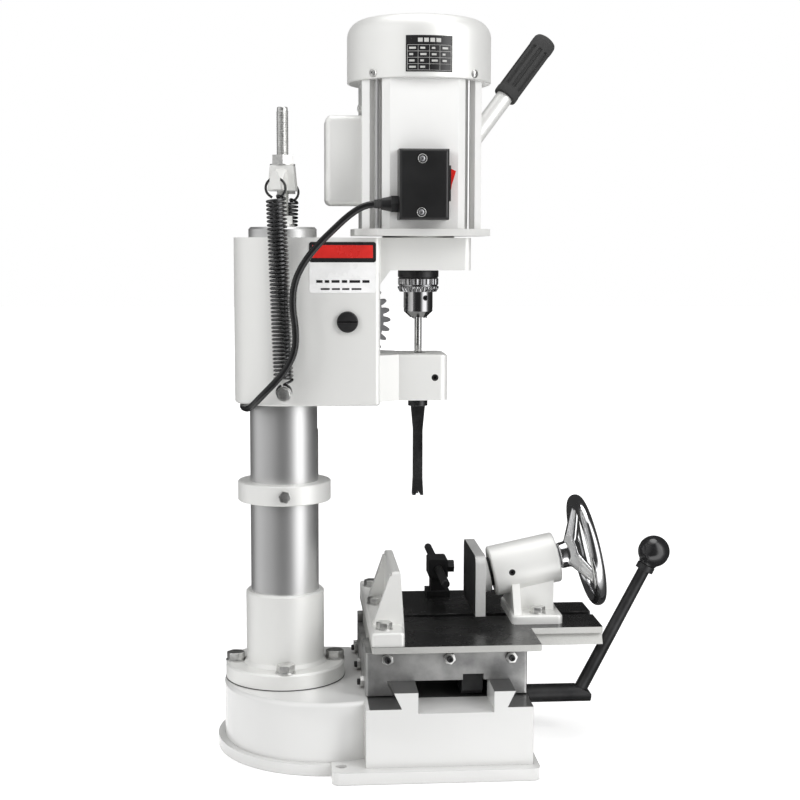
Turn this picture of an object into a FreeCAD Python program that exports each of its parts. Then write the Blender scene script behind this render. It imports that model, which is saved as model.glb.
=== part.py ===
import FreeCAD, Part
import math
import os
from FreeCAD import Vector

# Benchtop mortiser, millimetres. Origin on the bench under the column axis,
# +X from the column to the table, +Y to the back, +Z up.

# ---- driving dimensions ----
RUN = 0.05              # radial clearance of a running fit
FREE = 0.5              # clearance beside moving parts

BASE_TOP = 80.2
BASE_WALL = 9
BASE_ROOF = 14
DRUM_X = 49
DRUM_R = 121
RIM_R = 129
DRUM_EDGE = 5
RIM_HIGH = 13
BLOCK_X0 = 88
BLOCK_X1 = 275
BLOCK_HALF = 146
FOOT_X0 = 50
FOOT_X1 = 282
FOOT_HALF = 159.5
FOOT_HIGH = 14
BENCH_HOLE_X = 61
BENCH_HOLE_Y = 137
BENCH_HOLE_R = 6

RAIL_OUT_X0 = 118.9     # widest points of the base dovetail
RAIL_OUT_X1 = 254.8
RAIL_SLOT_X0 = 146
RAIL_SLOT_X1 = 230.7
RAIL_HIGH = 18.4
DOVETAIL_LEAN = 8.9
SLOT_FLOOR = 5.2        # depth of the central slot below the base top

COLUMN_R = 40
COLUMN_TOP = 611
FLANGE_R = 70.3
FLANGE_THICK = 18.8
SOCKET_R = 46
SOCKET_HIGH = 86
COLUMN_BOLT_R = 6
COLUMN_BOLT_CIRCLE = 58.8
COLUMN_BOLT_FLATS = 19

COLLAR_R = 54.5
COLLAR_HIGH = 23
COLLAR_Z = 292.5

HEAD_BOTTOM = 408
HEAD_TOP = 599
HEAD_BACK_R = 57        # half width, and radius round the column
HEAD_RIGHT = 109.6
HEAD_WALL = 8
ARM_RIGHT = 214.6
ARM_HALF = 45
ARM_THICK = 37
NOSE_X0 = 131.5
NOSE_X1 = 189.6
NOSE_HALF = 32
NOSE_LOW = 3.5
NOSE_HIGH = 53.5
SPINDLE_X = 157.5

GEAR_MODULE = 3.5
GEAR_TEETH = 28
GEAR_WIDE = 18
GEAR_Z = 504
RACK_PITCH_X = 23
RACK_BACK_X = 10
RACK_Z0 = 375
RACK_Z1 = 562
RACK_WIDE = 20
SHAFT_R = 12
SHAFT_FRONT = 62
BACKLASH = 0.35

HUB_R = 21
HUB_Y0 = 58
HUB_Y1 = 100
LEVER_Y = 80
LEVER_RISE = 52.6       # degrees above level
LEVER_SPLAY = 12.6      # degrees outboard
LEVER_R = 11
LEVER_LONG = 447
GRIP_LONG = 95
GRIP_R = 15.5

ROD_R = 7
ROD_TOP = 748
ROD_IN = 60
YOKE_Z = 652.5
YOKE_HIGH = 29
YOKE_TURN = 6.5         # degrees about Z
YOKE_REACH = 74
YOKE_BAR_WIDE = 12
YOKE_BAR_HIGH = 7.5
YOKE_CAP_THICK = 4
YOKE_CAP_HALF = 6.6
YOKE_CAP_HIGH = 20
SPRING_R = 11.5
SPRING_WIRE = 3.4
SPRING_PITCH = 8
SPRING_Y = 70
SPRING_EYE_R = 8
SPRING_HOOK_R = 11
SPRING_NECK = 12        # from the middle of an eye or hook to the first turn
HOOK_BOLT_X = 0
HOOK_BOLT_UP = 16
HOOK_BOLT_R = 4

MOTOR_PLATE_HALF = 77
MOTOR_PLATE_THICK = 8
MOTOR_HALF = 68
MOTOR_FLAT = 38.5       # half width of the flat faces
MOTOR_BORE = 60
MOTOR_TOP = 777
TIE_ROD_AT = 50.5
TIE_ROD_R = 3
TIE_GROOVE_HALF = 9
TIE_GROOVE_DEEP = 8
COVER_R = 82.9
COVER_Z = 775
COVER_HIGH = 80
COVER_WALL = 2.5
SPINDLE_R = 8
ROTOR_R = 34
AIR_GAP = 0.6
STACK_LONG = 90
BEARING_R = 20
BEARING_WIDE = 12
FAN_R = 70

CAP_BOX_X = 48.6
CAP_BOX_HALF = 33
CAP_BOX_Z0 = 636
CAP_BOX_Z1 = 737
SWITCH_X0 = 127.6
SWITCH_X1 = 182.7
SWITCH_Z0 = 618.5
SWITCH_Z1 = 696
SWITCH_FRONT = 100
ROCKER_Z = 658.5
ROCKER_HALF = 16.5
ROCKER_WIDE = 14
ROCKER_PIN_R = 1.2
ROCKER_PIN_IN = 1.5
GLAND_X = 109
GLAND_Y = -79.5
GLAND_Z = 636

SLEEVE_R = 24
SLEEVE_Z0 = 536.5
SLEEVE_Z1 = 562
CHUCK_R = 17
CHUCK_Z0 = 506.7
CHUCK_NOSE_R = 9.5
BIT_R = 4.3
BIT_LOW = 297
CHISEL_HALF = 5.5
CHISEL_BORE = 4.8
CHISEL_LOW = 296
CHISEL_SHANK_R = 9.5

SADDLE_X0 = 90.5
SADDLE_X1 = 275
SADDLE_Y0 = -100
SADDLE_Y1 = 97
SADDLE_GAP = 1.5
SADDLE_TOP = 131.5
SLIDE_Y0 = -37          # table slide at its widest
SLIDE_Y1 = 86
SLIDE_Z = 119.5
SLIDE_X1 = 376
SLIDE_LEAN = 6.5
GIB_THICK = 5
PINION_MODULE = 2.5
PINION_TEETH = 24
PINION_Z = 50
PINION_X0 = 201
PINION_X1 = 225
PINION_SHAFT_R = 11
PINION_SHAFT_END = 369
SADDLE_RACK_HALF = 90
RACK_BAR_HIGH = 25.4
GIB_FIT = 0.15
GIB_SCREW_R = 3
GIB_SCREW_SHORT = 1.8
FRONT_SCREW_X = (115, 185.7, 256.5)
FRONT_SCREW_Z = 124.5
SIDE_SCREW_Y = (-60, 12, 86)
SIDE_SCREW_Z = 87
ARM_FOOT_X = 358
ARM_FOOT_Z = 56
ARM_FOOT_R = 8
ARM_TOP_R = 7
ARM_PEG_R = 5
ARM_PEG_LONG = 9
BALL_X = 445
BALL_Z = 223
BALL_R = 19

TABLE_X0 = 97
TABLE_X1 = 290
TABLE_Y0 = -110
TABLE_Y1 = 160
TABLE_Z = 133
TABLE_THICK = 7.5
GROOVE_Y = 30
GROOVE_WIDE = 14
GROOVE_DEEP = 4.5

FENCE_X1 = 134
FENCE_FOOT = 16
FENCE_TOP = 218
FENCE_Y0 = -70
FENCE_Y1 = 55
FENCE_FOOT_Y0 = -108
FENCE_FOOT_Y1 = 157
FENCE_WEB = 11
FENCE_BOLTS = ((112, -88), (109, 31), (110, 125))
CLAMP_BOLT_R = 5
CLAMP_BOLT_FLATS = 16

VISE_Y = 30
VISE_TILT = 12
BARREL_X0 = 250.8
BARREL_Z0 = 194.8
BARREL_LONG = 82
BARREL_R = 30.5
QUILL_R = 17.5
VISE_FOOT_X0 = 270
VISE_FOOT_X1 = 331
VISE_FOOT_HALF = 50
VISE_FOOT_THICK = 10.5
VISE_BOLT_X = 302.5
VISE_BOLT_AT = 36
DOG_AT = 22             # along the barrel, as is the wheel's place
DOG_R = 4
SCREW_R = 8
WHEEL_AT = 120
WHEEL_R = 61.5
WHEEL_RIM_R = 7.8
WHEEL_DISH = 17         # how far the spokes' roots stand in front of the rim
WHEEL_HUB_R = 16
WHEEL_FLARE_R = 24
WHEEL_NUT_R = 10.5
JAW_THICK = 12
JAW_LOW = 153
JAW_TOP = 225
JAW_Y0 = -28
JAW_Y1 = 88
CHUCK_JAW_LEAN = 12     # degrees
CHUCK_JAW_R = 3

STOP_X = 196.5
STOP_Z = 177
STOP_ROD_R = 5
STOP_Y0 = 125
STOP_Y1 = 160
STOP_ROD_Y0 = 39
STOP_ROD_Y1 = 265
LOCK_FLATS = 14
LOCK_R = 4

LEAD_R = 4
COIL_R = 50
COIL_X = 172
COIL_Y = 226
COIL_HIGH = 16          # two layers of two turns

# ---- sizes that follow ----
TABLE_TOP = TABLE_Z + TABLE_THICK
RAIL_TOP = BASE_TOP + RAIL_HIGH
GEAR_X = RACK_PITCH_X + GEAR_MODULE * GEAR_TEETH / 2
ARM_BOTTOM = HEAD_TOP - ARM_THICK
MOTOR_PLATE_Z = HEAD_TOP + 2
MOTOR_LOW = MOTOR_PLATE_Z + MOTOR_PLATE_THICK
RACK_PITCH_Z = PINION_Z + PINION_MODULE * PINION_TEETH / 2
RACK_BAR_TOP = RACK_PITCH_Z + RACK_BAR_HIGH
COVER_TOP = COVER_Z + COVER_HIGH
COVER_ROUND = COVER_HIGH / 3
SADDLE_Z = BASE_TOP + SADDLE_GAP
LOW_LEAN = DOVETAIL_LEAN / RAIL_HIGH
TOP_LEAN = SLIDE_LEAN / (SADDLE_TOP - SLIDE_Z)
STOP_LOCK_Y = (STOP_Y0 + STOP_Y1) / 2
SPRING_LOOP = SPRING_HOOK_R - SPRING_WIRE / 2 - 0.05
HOOK_Z = YOKE_Z + YOKE_BAR_HIGH - math.sqrt(SPRING_LOOP ** 2 - (YOKE_BAR_WIDE / 2 + 0.4) ** 2)
HOOK_BOLT_Z = HEAD_BOTTOM + HOOK_BOLT_UP
FRONT_STRIP_Y = SLIDE_Y0 - GIB_THICK + (FRONT_SCREW_Z - SLIDE_Z) * TOP_LEAN
SIDE_STRIP_X = RAIL_OUT_X0 - GIB_THICK + (RAIL_TOP - SIDE_SCREW_Z) * LOW_LEAN
UP = Vector(0, 0, 1)
RIGHT = Vector(1, 0, 0)
BACK = Vector(0, 1, 0)

os.makedirs("parts", exist_ok=True)


# ---- shape helpers ----
def box(x0, x1, y0, y1, z0, z1):
    return Part.makeBox(x1 - x0, y1 - y0, z1 - z0, Vector(x0, y0, z0))


def bar(radius, start, end):
    start, end = Vector(*start), Vector(*end)
    return Part.makeCylinder(radius, (end - start).Length, start, end - start)


def cone(r0, r1, start, end):
    start, end = Vector(*start), Vector(*end)
    return Part.makeCone(r0, r1, (end - start).Length, start, end - start)


def ring(r_out, r_in, start, end):
    return bar(r_out, start, end).cut(bar(r_in, start, end))


def fused(first, *others):
    return first.fuse(list(others)).removeSplitter()


def cut(shape, *tools):
    return shape.cut(list(tools))


def prism(points, along):
    wire = Part.makePolygon([Vector(*p) for p in points] + [Vector(*points[0])])
    return Part.Face(wire).extrude(Vector(*along))


def hexagon(flats, start, end):
    start, end = Vector(*start), Vector(*end)
    axis = (end - start).normalize()
    side = axis.cross(UP if abs(axis.z) < 0.9 else RIGHT).normalize()
    other = axis.cross(side)
    corner = flats / math.sqrt(3)
    turns = [math.radians(60 * i) for i in range(6)]
    points = [start + side * (corner * math.cos(t)) + other * (corner * math.sin(t)) for t in turns]
    return prism(points, (Vector(*end) - start))


def turned(profile, at=(0, 0, 0)):
    """Solid of revolution about a vertical line: profile holds (radius, z)."""
    wire = Part.makePolygon([Vector(r, 0, z) for r, z in profile + profile[:1]])
    solid = Part.Face(wire).revolve(Vector(), UP, 360)
    solid.translate(Vector(*at))
    return solid


def upright_edges(shape, radius, choose=lambda e: True):
    edges = [e for e in shape.Edges if straight_along(e, UP) and choose(e)]
    return shape.makeFillet(radius, edges)


def straight_along(edge, axis):
    if not isinstance(edge.Curve, Part.Line):
        return False
    return abs(abs(edge.Curve.Direction.dot(axis)) - 1) < 1e-6


def edges_at_height(shape, z):
    return [e for e in shape.Edges if abs(e.BoundBox.ZMin - z) < 1e-4 and abs(e.BoundBox.ZMax - z) < 1e-4]


def save(node, *solids):
    shape = solids[0] if len(solids) == 1 else Part.makeCompound(list(solids))
    shape.exportStep(f"parts/{node}.step")


def gear(module, teeth, y_half):
    """Spur gear about Z, tooth centred on +X, flanks as points of the involute."""
    pitch_r = module * teeth / 2
    base_r = pitch_r * math.cos(math.radians(20))
    tip_r = pitch_r + module
    root_r = pitch_r - 1.25 * module
    half_tooth = math.pi / teeth / 2 - BACKLASH / 4 / pitch_r
    pitch_involute = math.tan(math.radians(20)) - math.radians(20)
    flank = []
    for step in range(6):
        radius = base_r + (tip_r - base_r) * step / 5
        pressure = math.acos(min(1, base_r / radius))
        angle = half_tooth + pitch_involute - (math.tan(pressure) - pressure)
        flank.append((radius, angle))
    flank.insert(0, (root_r, flank[0][1]))
    outline = []
    for tooth in range(teeth):
        middle = 2 * math.pi * tooth / teeth
        for radius, angle in flank:
            outline.append((radius, middle - angle))
        for radius, angle in reversed(flank):
            outline.append((radius, middle + angle))
    points = [(r * math.cos(a), r * math.sin(a), -y_half) for r, a in outline]
    return prism(points, (0, 0, 2 * y_half))


def rack_profile(module, start, end, back, gap_at):
    """Outline in (along, depth): pitch line at depth 0, teeth towards +depth."""
    pitch = math.pi * module
    tooth_tip = pitch / 4 - module * math.tan(math.radians(20)) - BACKLASH / 4
    tooth_root = pitch / 4 + 1.25 * module * math.tan(math.radians(20)) - BACKLASH / 4
    first = math.ceil((start + tooth_root - gap_at) / pitch - 0.5)
    last = math.floor((end - tooth_root - gap_at) / pitch - 0.5)
    points = [(start, back), (start, -1.25 * module)]
    for k in range(first, last + 1):
        middle = gap_at + (k + 0.5) * pitch
        points += [(middle - tooth_root, -1.25 * module), (middle - tooth_tip, module)]
        points += [(middle + tooth_tip, module), (middle + tooth_root, -1.25 * module)]
    return points + [(end, -1.25 * module), (end, back)]


def hex_bolt(flats, radius, seat, axis, length, head=None, washer=0.0):
    """Bolt whose head sits on seat and whose shank runs against axis."""
    seat, axis = Vector(*seat), Vector(*axis)
    head = head or radius * 1.3
    under = seat + axis * washer
    top = under + axis * head
    body = fused(hexagon(flats, under, top), bar(radius, seat - axis * length, under + axis * 0.5))
    if washer:
        body = fused(body, bar(radius * 2, seat, under))
    return body


# ---- base ----
def drum_outline(offset, z0, z1):
    drum = bar(DRUM_R + offset, (DRUM_X, 0, z0), (DRUM_X, 0, z1))
    block = box(BLOCK_X0 - offset, BLOCK_X1 + offset, -BLOCK_HALF - offset, BLOCK_HALF + offset, z0, z1)
    return fused(drum, block)


def rail(x_neck, x_top, x_slot):
    points = [(x_neck, 0, BASE_TOP), (x_top, 0, RAIL_TOP), (x_slot, 0, RAIL_TOP), (x_slot, 0, BASE_TOP)]
    solid = prism([(x, -BLOCK_HALF, z) for x, _, z in points], (0, 2 * BLOCK_HALF, 0))
    return solid


def shaft_boss(x0, x1):
    return bar(PINION_SHAFT_R + 11, (x0, 0, PINION_Z), (x1, 0, PINION_Z))


BUSH_R = PINION_SHAFT_R + 4
INNER_BOSS_X0 = PINION_X0 - 24
INNER_BOSS_X1 = PINION_X0 - 2
OUTER_BOSS_X0 = BLOCK_X1 - 30
OUTER_BOSS_X1 = BLOCK_X1 + 12


def base_casting():
    drum = bar(DRUM_R, (DRUM_X, 0, 0), (DRUM_X, 0, BASE_TOP))
    drum = drum.makeFillet(DRUM_EDGE, edges_at_height(drum, BASE_TOP))
    body = fused(drum, box(BLOCK_X0, BLOCK_X1, -BLOCK_HALF, BLOCK_HALF, 0, BASE_TOP))
    foot = box(FOOT_X0, FOOT_X1, -FOOT_HALF, FOOT_HALF, 0, FOOT_HIGH)
    foot = upright_edges(foot, 9)
    rim = bar(RIM_R, (DRUM_X, 0, 0), (DRUM_X, 0, RIM_HIGH))
    body = fused(body, foot, rim)
    hollow = drum_outline(-BASE_WALL, -1, BASE_TOP - BASE_ROOF)
    body = cut(body, hollow)
    rails = [
        rail(RAIL_OUT_X0 + DOVETAIL_LEAN, RAIL_OUT_X0, RAIL_SLOT_X0),
        rail(RAIL_OUT_X1 - DOVETAIL_LEAN, RAIL_OUT_X1, RAIL_SLOT_X1),
    ]
    pad = ring(FLANGE_R, COLUMN_R, (0, 0, BASE_TOP - BASE_ROOF - 20), (0, 0, BASE_TOP - 1))
    pad = pad.common(drum_outline(-1, 0, BASE_TOP))
    roof = BASE_TOP - BASE_ROOF
    hanger = box(INNER_BOSS_X0, INNER_BOSS_X1, -22, 22, PINION_Z, roof + 1)
    wall = box(OUTER_BOSS_X0, BLOCK_X1 - 1, -22, 22, PINION_Z, roof + 1)
    bosses = [shaft_boss(INNER_BOSS_X0, INNER_BOSS_X1), shaft_boss(OUTER_BOSS_X0, OUTER_BOSS_X1)]
    body = fused(body, *rails, pad, hanger, wall, *bosses)
    slot = box(RAIL_SLOT_X0, RAIL_SLOT_X1, -BLOCK_HALF, BLOCK_HALF, BASE_TOP - SLOT_FLOOR, RAIL_TOP)
    window_r = PINION_MODULE * (PINION_TEETH / 2 + 1) + 2
    window = bar(window_r, (PINION_X0 - 1, 0, PINION_Z), (PINION_X1 + 1, 0, PINION_Z))
    bore = bar(BUSH_R, (INNER_BOSS_X0, 0, PINION_Z), (OUTER_BOSS_X1, 0, PINION_Z))
    body = cut(body, slot, window, bore)
    for side in (-1, 1):
        y = side * BENCH_HOLE_Y
        body = cut(body, bar(BENCH_HOLE_R, (BENCH_HOLE_X, y, -1), (BENCH_HOLE_X, y, FOOT_HIGH + 1)))
    for x, y in column_bolt_places():
        body = cut(body, bar(COLUMN_BOLT_R, (x, y, roof - 8), (x, y, BASE_TOP + 1)))
    return body


def column_bolt_places():
    turns = [math.radians(90 * i) for i in range(4)]
    return [(COLUMN_BOLT_CIRCLE * math.cos(t), COLUMN_BOLT_CIRCLE * math.sin(t)) for t in turns]


def pinion_bushes():
    spans = [(INNER_BOSS_X0, INNER_BOSS_X1), (OUTER_BOSS_X0, OUTER_BOSS_X1)]
    bore = PINION_SHAFT_R + RUN
    return [ring(BUSH_R, bore, (a, 0, PINION_Z), (b, 0, PINION_Z)) for a, b in spans]


# ---- column ----
FLANGE_TOP = BASE_TOP + FLANGE_THICK
SOCKET_TOP = FLANGE_TOP + SOCKET_HIGH


def column_flange():
    profile = [
        (COLUMN_R, BASE_TOP), (FLANGE_R, BASE_TOP), (FLANGE_R, FLANGE_TOP - 2), (FLANGE_R - 2, FLANGE_TOP),
        (SOCKET_R + 4, FLANGE_TOP), (SOCKET_R, FLANGE_TOP + 4), (SOCKET_R, SOCKET_TOP - 2),
        (SOCKET_R - 2, SOCKET_TOP), (COLUMN_R, SOCKET_TOP),
    ]
    body = turned(profile)
    for x, y in column_bolt_places():
        body = cut(body, bar(COLUMN_BOLT_R + 0.6, (x, y, BASE_TOP - 1), (x, y, FLANGE_TOP + 1)))
        body = cut(body, bar(2 * COLUMN_BOLT_R + 0.5, (x, y, FLANGE_TOP), (x, y, FLANGE_TOP + 20)))
    return body


def column_bolts():
    depth = FLANGE_THICK + BASE_ROOF + 6
    return [
        hex_bolt(COLUMN_BOLT_FLATS, COLUMN_BOLT_R, (x, y, FLANGE_TOP), (0, 0, 1), depth, washer=2.5)
        for x, y in column_bolt_places()
    ]


def column():
    profile = [(0, BASE_TOP), (COLUMN_R, BASE_TOP), (COLUMN_R, COLUMN_TOP - 2.5),
               (COLUMN_R - 2.5, COLUMN_TOP), (0, COLUMN_TOP)]
    body = turned(profile)
    groove = box(RACK_BACK_X, COLUMN_R + 1, -RACK_WIDE / 2, RACK_WIDE / 2, RACK_Z0, COLUMN_TOP + 1)
    return cut(body, groove, bar(ROD_R, (0, 0, COLUMN_TOP - ROD_IN), (0, 0, COLUMN_TOP + 1)))


def column_rack():
    outline = rack_profile(GEAR_MODULE, RACK_Z0, RACK_Z1, RACK_BACK_X - RACK_PITCH_X, GEAR_Z)
    half = RACK_WIDE / 2
    points = [(RACK_PITCH_X + depth, -half, along) for along, depth in outline]
    return prism(points, (0, RACK_WIDE, 0))


def tension_rod():
    profile = [(0, COLUMN_TOP - ROD_IN), (ROD_R, COLUMN_TOP - ROD_IN), (ROD_R, ROD_TOP - 1.5),
               (ROD_R - 1.5, ROD_TOP), (0, ROD_TOP)]
    return turned(profile)


def tension_nuts():
    yoke_top = YOKE_Z + YOKE_HIGH
    seats = [(COLUMN_TOP, 3, 10, 22), (yoke_top, 1.5, 10.5, 23.5)]
    nuts = []
    for z, washer, high, flats in seats:
        blank = fused(bar(flats * 0.62, (0, 0, z), (0, 0, z + washer)),
                      hexagon(flats, (0, 0, z + washer), (0, 0, z + washer + high)))
        nuts.append(cut(blank, bar(ROD_R, (0, 0, z), (0, 0, z + washer + high))))
    return nuts


def spring_yoke():
    top = YOKE_Z + YOKE_HIGH
    hub_low = [(-16, -14), (16, -14), (16, 14), (-16, 14)]
    hub = Part.makeLoft([
        Part.makePolygon([Vector(x, y, YOKE_Z) for x, y in hub_low + hub_low[:1]]),
        Part.makePolygon([Vector(x * 0.84, y * 0.9, top) for x, y in hub_low + hub_low[:1]]),
    ], True)
    half = YOKE_BAR_WIDE / 2
    low, high = YOKE_Z + YOKE_BAR_HIGH, YOKE_Z + YOKE_HIGH - 4
    flat = SPRING_Y - 5
    side = [(-YOKE_REACH, YOKE_Z), (YOKE_REACH, YOKE_Z), (YOKE_REACH, low), (flat, low), (12, high),
            (-12, high), (-flat, low), (-YOKE_REACH, low)]
    cap = [(-YOKE_CAP_HALF, -1), (YOKE_CAP_HALF, -1), (YOKE_CAP_HALF * 0.8, YOKE_CAP_HIGH * 0.58),
           (YOKE_CAP_HALF / 3, YOKE_CAP_HIGH - 1), (-YOKE_CAP_HALF / 3, YOKE_CAP_HIGH - 1),
           (-YOKE_CAP_HALF * 0.8, YOKE_CAP_HIGH * 0.58)]
    caps = [prism([(x, side_y * YOKE_REACH, YOKE_Z + z) for x, z in cap], (0, side_y * YOKE_CAP_THICK, 0))
            for side_y in (-1, 1)]
    body = fused(hub, prism([(-half, y, z) for y, z in side], (YOKE_BAR_WIDE, 0, 0)), *caps)
    body.rotate(Vector(), UP, -YOKE_TURN)
    return cut(body, bar(ROD_R, (0, 0, YOKE_Z), (0, 0, top)))


def hook_place(side):
    turn = math.radians(YOKE_TURN)
    return Vector(side * SPRING_Y * math.sin(turn), side * SPRING_Y, HOOK_Z)


def eye_place(side):
    wire = SPRING_WIRE / 2
    return Vector(HOOK_BOLT_X, side * SPRING_Y, HOOK_BOLT_Z + SPRING_EYE_R - wire - HOOK_BOLT_R - 0.1)


def balance_spring(side):
    """Close stand-in for a wound tension spring: a ribbed tube with an eye below and a hook above."""
    low, high = eye_place(side), hook_place(side)
    long = (high - low).Length
    z0, z1 = SPRING_NECK, long - SPRING_HOOK_R
    inner = SPRING_R - SPRING_WIRE
    wire = SPRING_WIRE / 2
    turns = int((z1 - z0) / SPRING_PITCH)
    pitch = (z1 - z0) / turns
    outline = [(inner, z0)]
    for k in range(turns):
        z = z0 + k * pitch
        outline += [(SPRING_R - 1.6, z), (SPRING_R, z + pitch / 2)]
    outline += [(SPRING_R - 1.6, z1), (inner, z1)]
    pieces = [
        bar(wire, (0, 0, SPRING_EYE_R), (0, 0, z0 + 3)),
        bar(wire, (-inner - 1, 0, z0 + 2), (inner + 1, 0, z0 + 2)),
        Part.makeTorus(SPRING_EYE_R, wire, Vector(), BACK),
        bar(wire, (0, 0, z1 - 3), (0, 0, long - SPRING_HOOK_R)),
        bar(wire, (-inner - 1, 0, z1 - 2), (inner + 1, 0, z1 - 2)),
        Part.makeTorus(SPRING_HOOK_R, wire, Vector(0, 0, long), BACK),
    ]
    body = fused(turned(outline), *pieces)
    body.rotate(Vector(), BACK, math.degrees(math.atan2(high.x - low.x, high.z - low.z)))
    body.translate(low)
    return body


# ---- depth collar ----
def depth_collar():
    bore = COLUMN_R + RUN
    z1 = COLLAR_Z + COLLAR_HIGH
    profile = [(bore, COLLAR_Z), (COLLAR_R - 1, COLLAR_Z), (COLLAR_R, COLLAR_Z + 1), (COLLAR_R, z1 - 1),
               (COLLAR_R - 1, z1), (bore, z1)]
    middle = COLLAR_Z + COLLAR_HIGH / 2
    return cut(turned(profile), bar(4, (0, -COLLAR_R - 1, middle), (0, 0, middle)))


def collar_bolt():
    z = COLLAR_Z + COLLAR_HIGH / 2
    return hex_bolt(13, 4, (0, -COLLAR_R, z), (0, -1, 0), COLLAR_R - COLUMN_R - 0.5, washer=1.5)


# ---- head ----
def head_casting():
    body = fused(
        bar(HEAD_BACK_R, (0, 0, HEAD_BOTTOM), (0, 0, HEAD_TOP)),
        box(0, HEAD_RIGHT, -HEAD_BACK_R, HEAD_BACK_R, HEAD_BOTTOM, HEAD_TOP),
    )
    body = upright_edges(body, 6, lambda e: e.BoundBox.XMin > HEAD_RIGHT - 1)
    body = body.makeFillet(3, edges_at_height(body, HEAD_BOTTOM))
    arm = box(HEAD_RIGHT - 9, ARM_RIGHT, -ARM_HALF, ARM_HALF, ARM_BOTTOM, HEAD_TOP)
    arm = upright_edges(arm, 8, lambda e: e.BoundBox.XMin > ARM_RIGHT - 1)
    gusset = [(HEAD_RIGHT - 1, ARM_BOTTOM - 15), (HEAD_RIGHT + 1, ARM_BOTTOM - 15),
              (HEAD_RIGHT + 12, ARM_BOTTOM), (HEAD_RIGHT - 1, ARM_BOTTOM)]
    gusset = prism([(x, -ARM_HALF, z) for x, z in gusset], (0, 2 * ARM_HALF, 0))
    nose_z0 = HEAD_BOTTOM + NOSE_LOW
    nose_z1 = nose_z0 + NOSE_HIGH
    nose = box(NOSE_X0, NOSE_X1, -NOSE_HALF, NOSE_HALF, nose_z0, nose_z1)
    nose = upright_edges(nose, 9, lambda e: e.BoundBox.XMin > NOSE_X1 - 1)
    nose = nose.makeFillet(3, edges_at_height(nose, nose_z1))
    neck_half = HEAD_BACK_R - 9
    neck = prism([(HEAD_RIGHT - 9, -neck_half, nose_z0), (HEAD_RIGHT, -neck_half, nose_z0),
                  (NOSE_X0 + 1, -NOSE_HALF, nose_z0), (NOSE_X0 + 1, NOSE_HALF, nose_z0),
                  (HEAD_RIGHT, neck_half, nose_z0), (HEAD_RIGHT - 9, neck_half, nose_z0)], (0, 0, NOSE_HIGH))
    body = fused(body, arm, gusset, nose, neck)
    sleeve_r = COLUMN_R + HEAD_WALL + 2
    room = box(sleeve_r - 4, HEAD_RIGHT - HEAD_WALL, -HEAD_BACK_R + HEAD_WALL, HEAD_BACK_R - HEAD_WALL,
               HEAD_BOTTOM - 1, HEAD_TOP - HEAD_WALL)
    room = cut(room, bar(sleeve_r, (0, 0, HEAD_BOTTOM - 1), (0, 0, HEAD_TOP)))
    tip_r = GEAR_MODULE * (GEAR_TEETH / 2 + 1)
    half = GEAR_WIDE / 2 + FREE
    pocket = bar(tip_r + 2, (GEAR_X, -half, GEAR_Z), (GEAR_X, half, GEAR_Z))
    posts = [bar(SHAFT_R + 8, (GEAR_X, half * s, GEAR_Z), (GEAR_X, (HEAD_BACK_R - 2) * s, GEAR_Z))
             for s in (-1, 1)]
    body = fused(cut(body, room), *posts)
    bore = bar(COLUMN_R + RUN, (0, 0, HEAD_BOTTOM - 1), (0, 0, HEAD_TOP + 1))
    shaft = bar(SHAFT_R + RUN, (GEAR_X, -HEAD_BACK_R - 1, GEAR_Z), (GEAR_X, HEAD_BACK_R + 1, GEAR_Z))
    drive = bar(20, (SPINDLE_X, 0, ARM_BOTTOM - 1), (SPINDLE_X, 0, HEAD_TOP + 1))
    recess = bar(SLEEVE_R + 2, (SPINDLE_X, 0, ARM_BOTTOM - 1), (SPINDLE_X, 0, ARM_BOTTOM + 6))
    chisel = bar(CHISEL_SHANK_R, (SPINDLE_X, 0, nose_z0 - 1), (SPINDLE_X, 0, nose_z1 + 1))
    lock = bar(4, (SPINDLE_X + 17, -NOSE_HALF - 1, nose_z0 + 26.5), (SPINDLE_X + 17, -8, nose_z0 + 26.5))
    body = cut(body, pocket, bore, shaft, drive, recess, chisel, lock)
    for side in (-1, 1):
        body = cut(body, bar(HOOK_BOLT_R, (HOOK_BOLT_X, side * (HEAD_BACK_R - 9), HOOK_BOLT_Z),
                             (HOOK_BOLT_X, side * (HEAD_BACK_R + 1), HOOK_BOLT_Z)))
    for dx, dy in tie_rod_places():
        x = SPINDLE_X + dx
        if abs(dy) < ARM_HALF and x < ARM_RIGHT:
            body = cut(body, bar(TIE_ROD_R, (x, dy, HEAD_TOP - 15), (x, dy, HEAD_TOP + 1)))
    return body


def spring_bolts():
    """Shoulder bolts that hold the lower spring eyes to the head."""
    bolts = []
    for side in (-1, 1):
        face = side * HEAD_BACK_R
        outer = side * (SPRING_Y + 6)
        def at(y):
            return (HOOK_BOLT_X, y, HOOK_BOLT_Z)

        shank = bar(HOOK_BOLT_R, at(face - side * 9), at(outer))
        spacer = bar(5.5, (HOOK_BOLT_X, face, HOOK_BOLT_Z), (HOOK_BOLT_X, face + side * 9, HOOK_BOLT_Z))
        washer = bar(8.5, at(outer - side * 3.5), at(outer - side * 2))
        head = hexagon(13, at(outer - side * 2), at(outer + side * 4))
        bolts.append(fused(shank, spacer, washer, head))
    return bolts


def nose_screw():
    z = HEAD_BOTTOM + NOSE_LOW + 26.5
    x = SPINDLE_X + 17
    body = bar(4, (x, -NOSE_HALF + 0.8, z), (x, -9, z))
    return cut(body, hexagon(4, (x, -NOSE_HALF + 0.5, z), (x, -NOSE_HALF + 4.5, z)))


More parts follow.
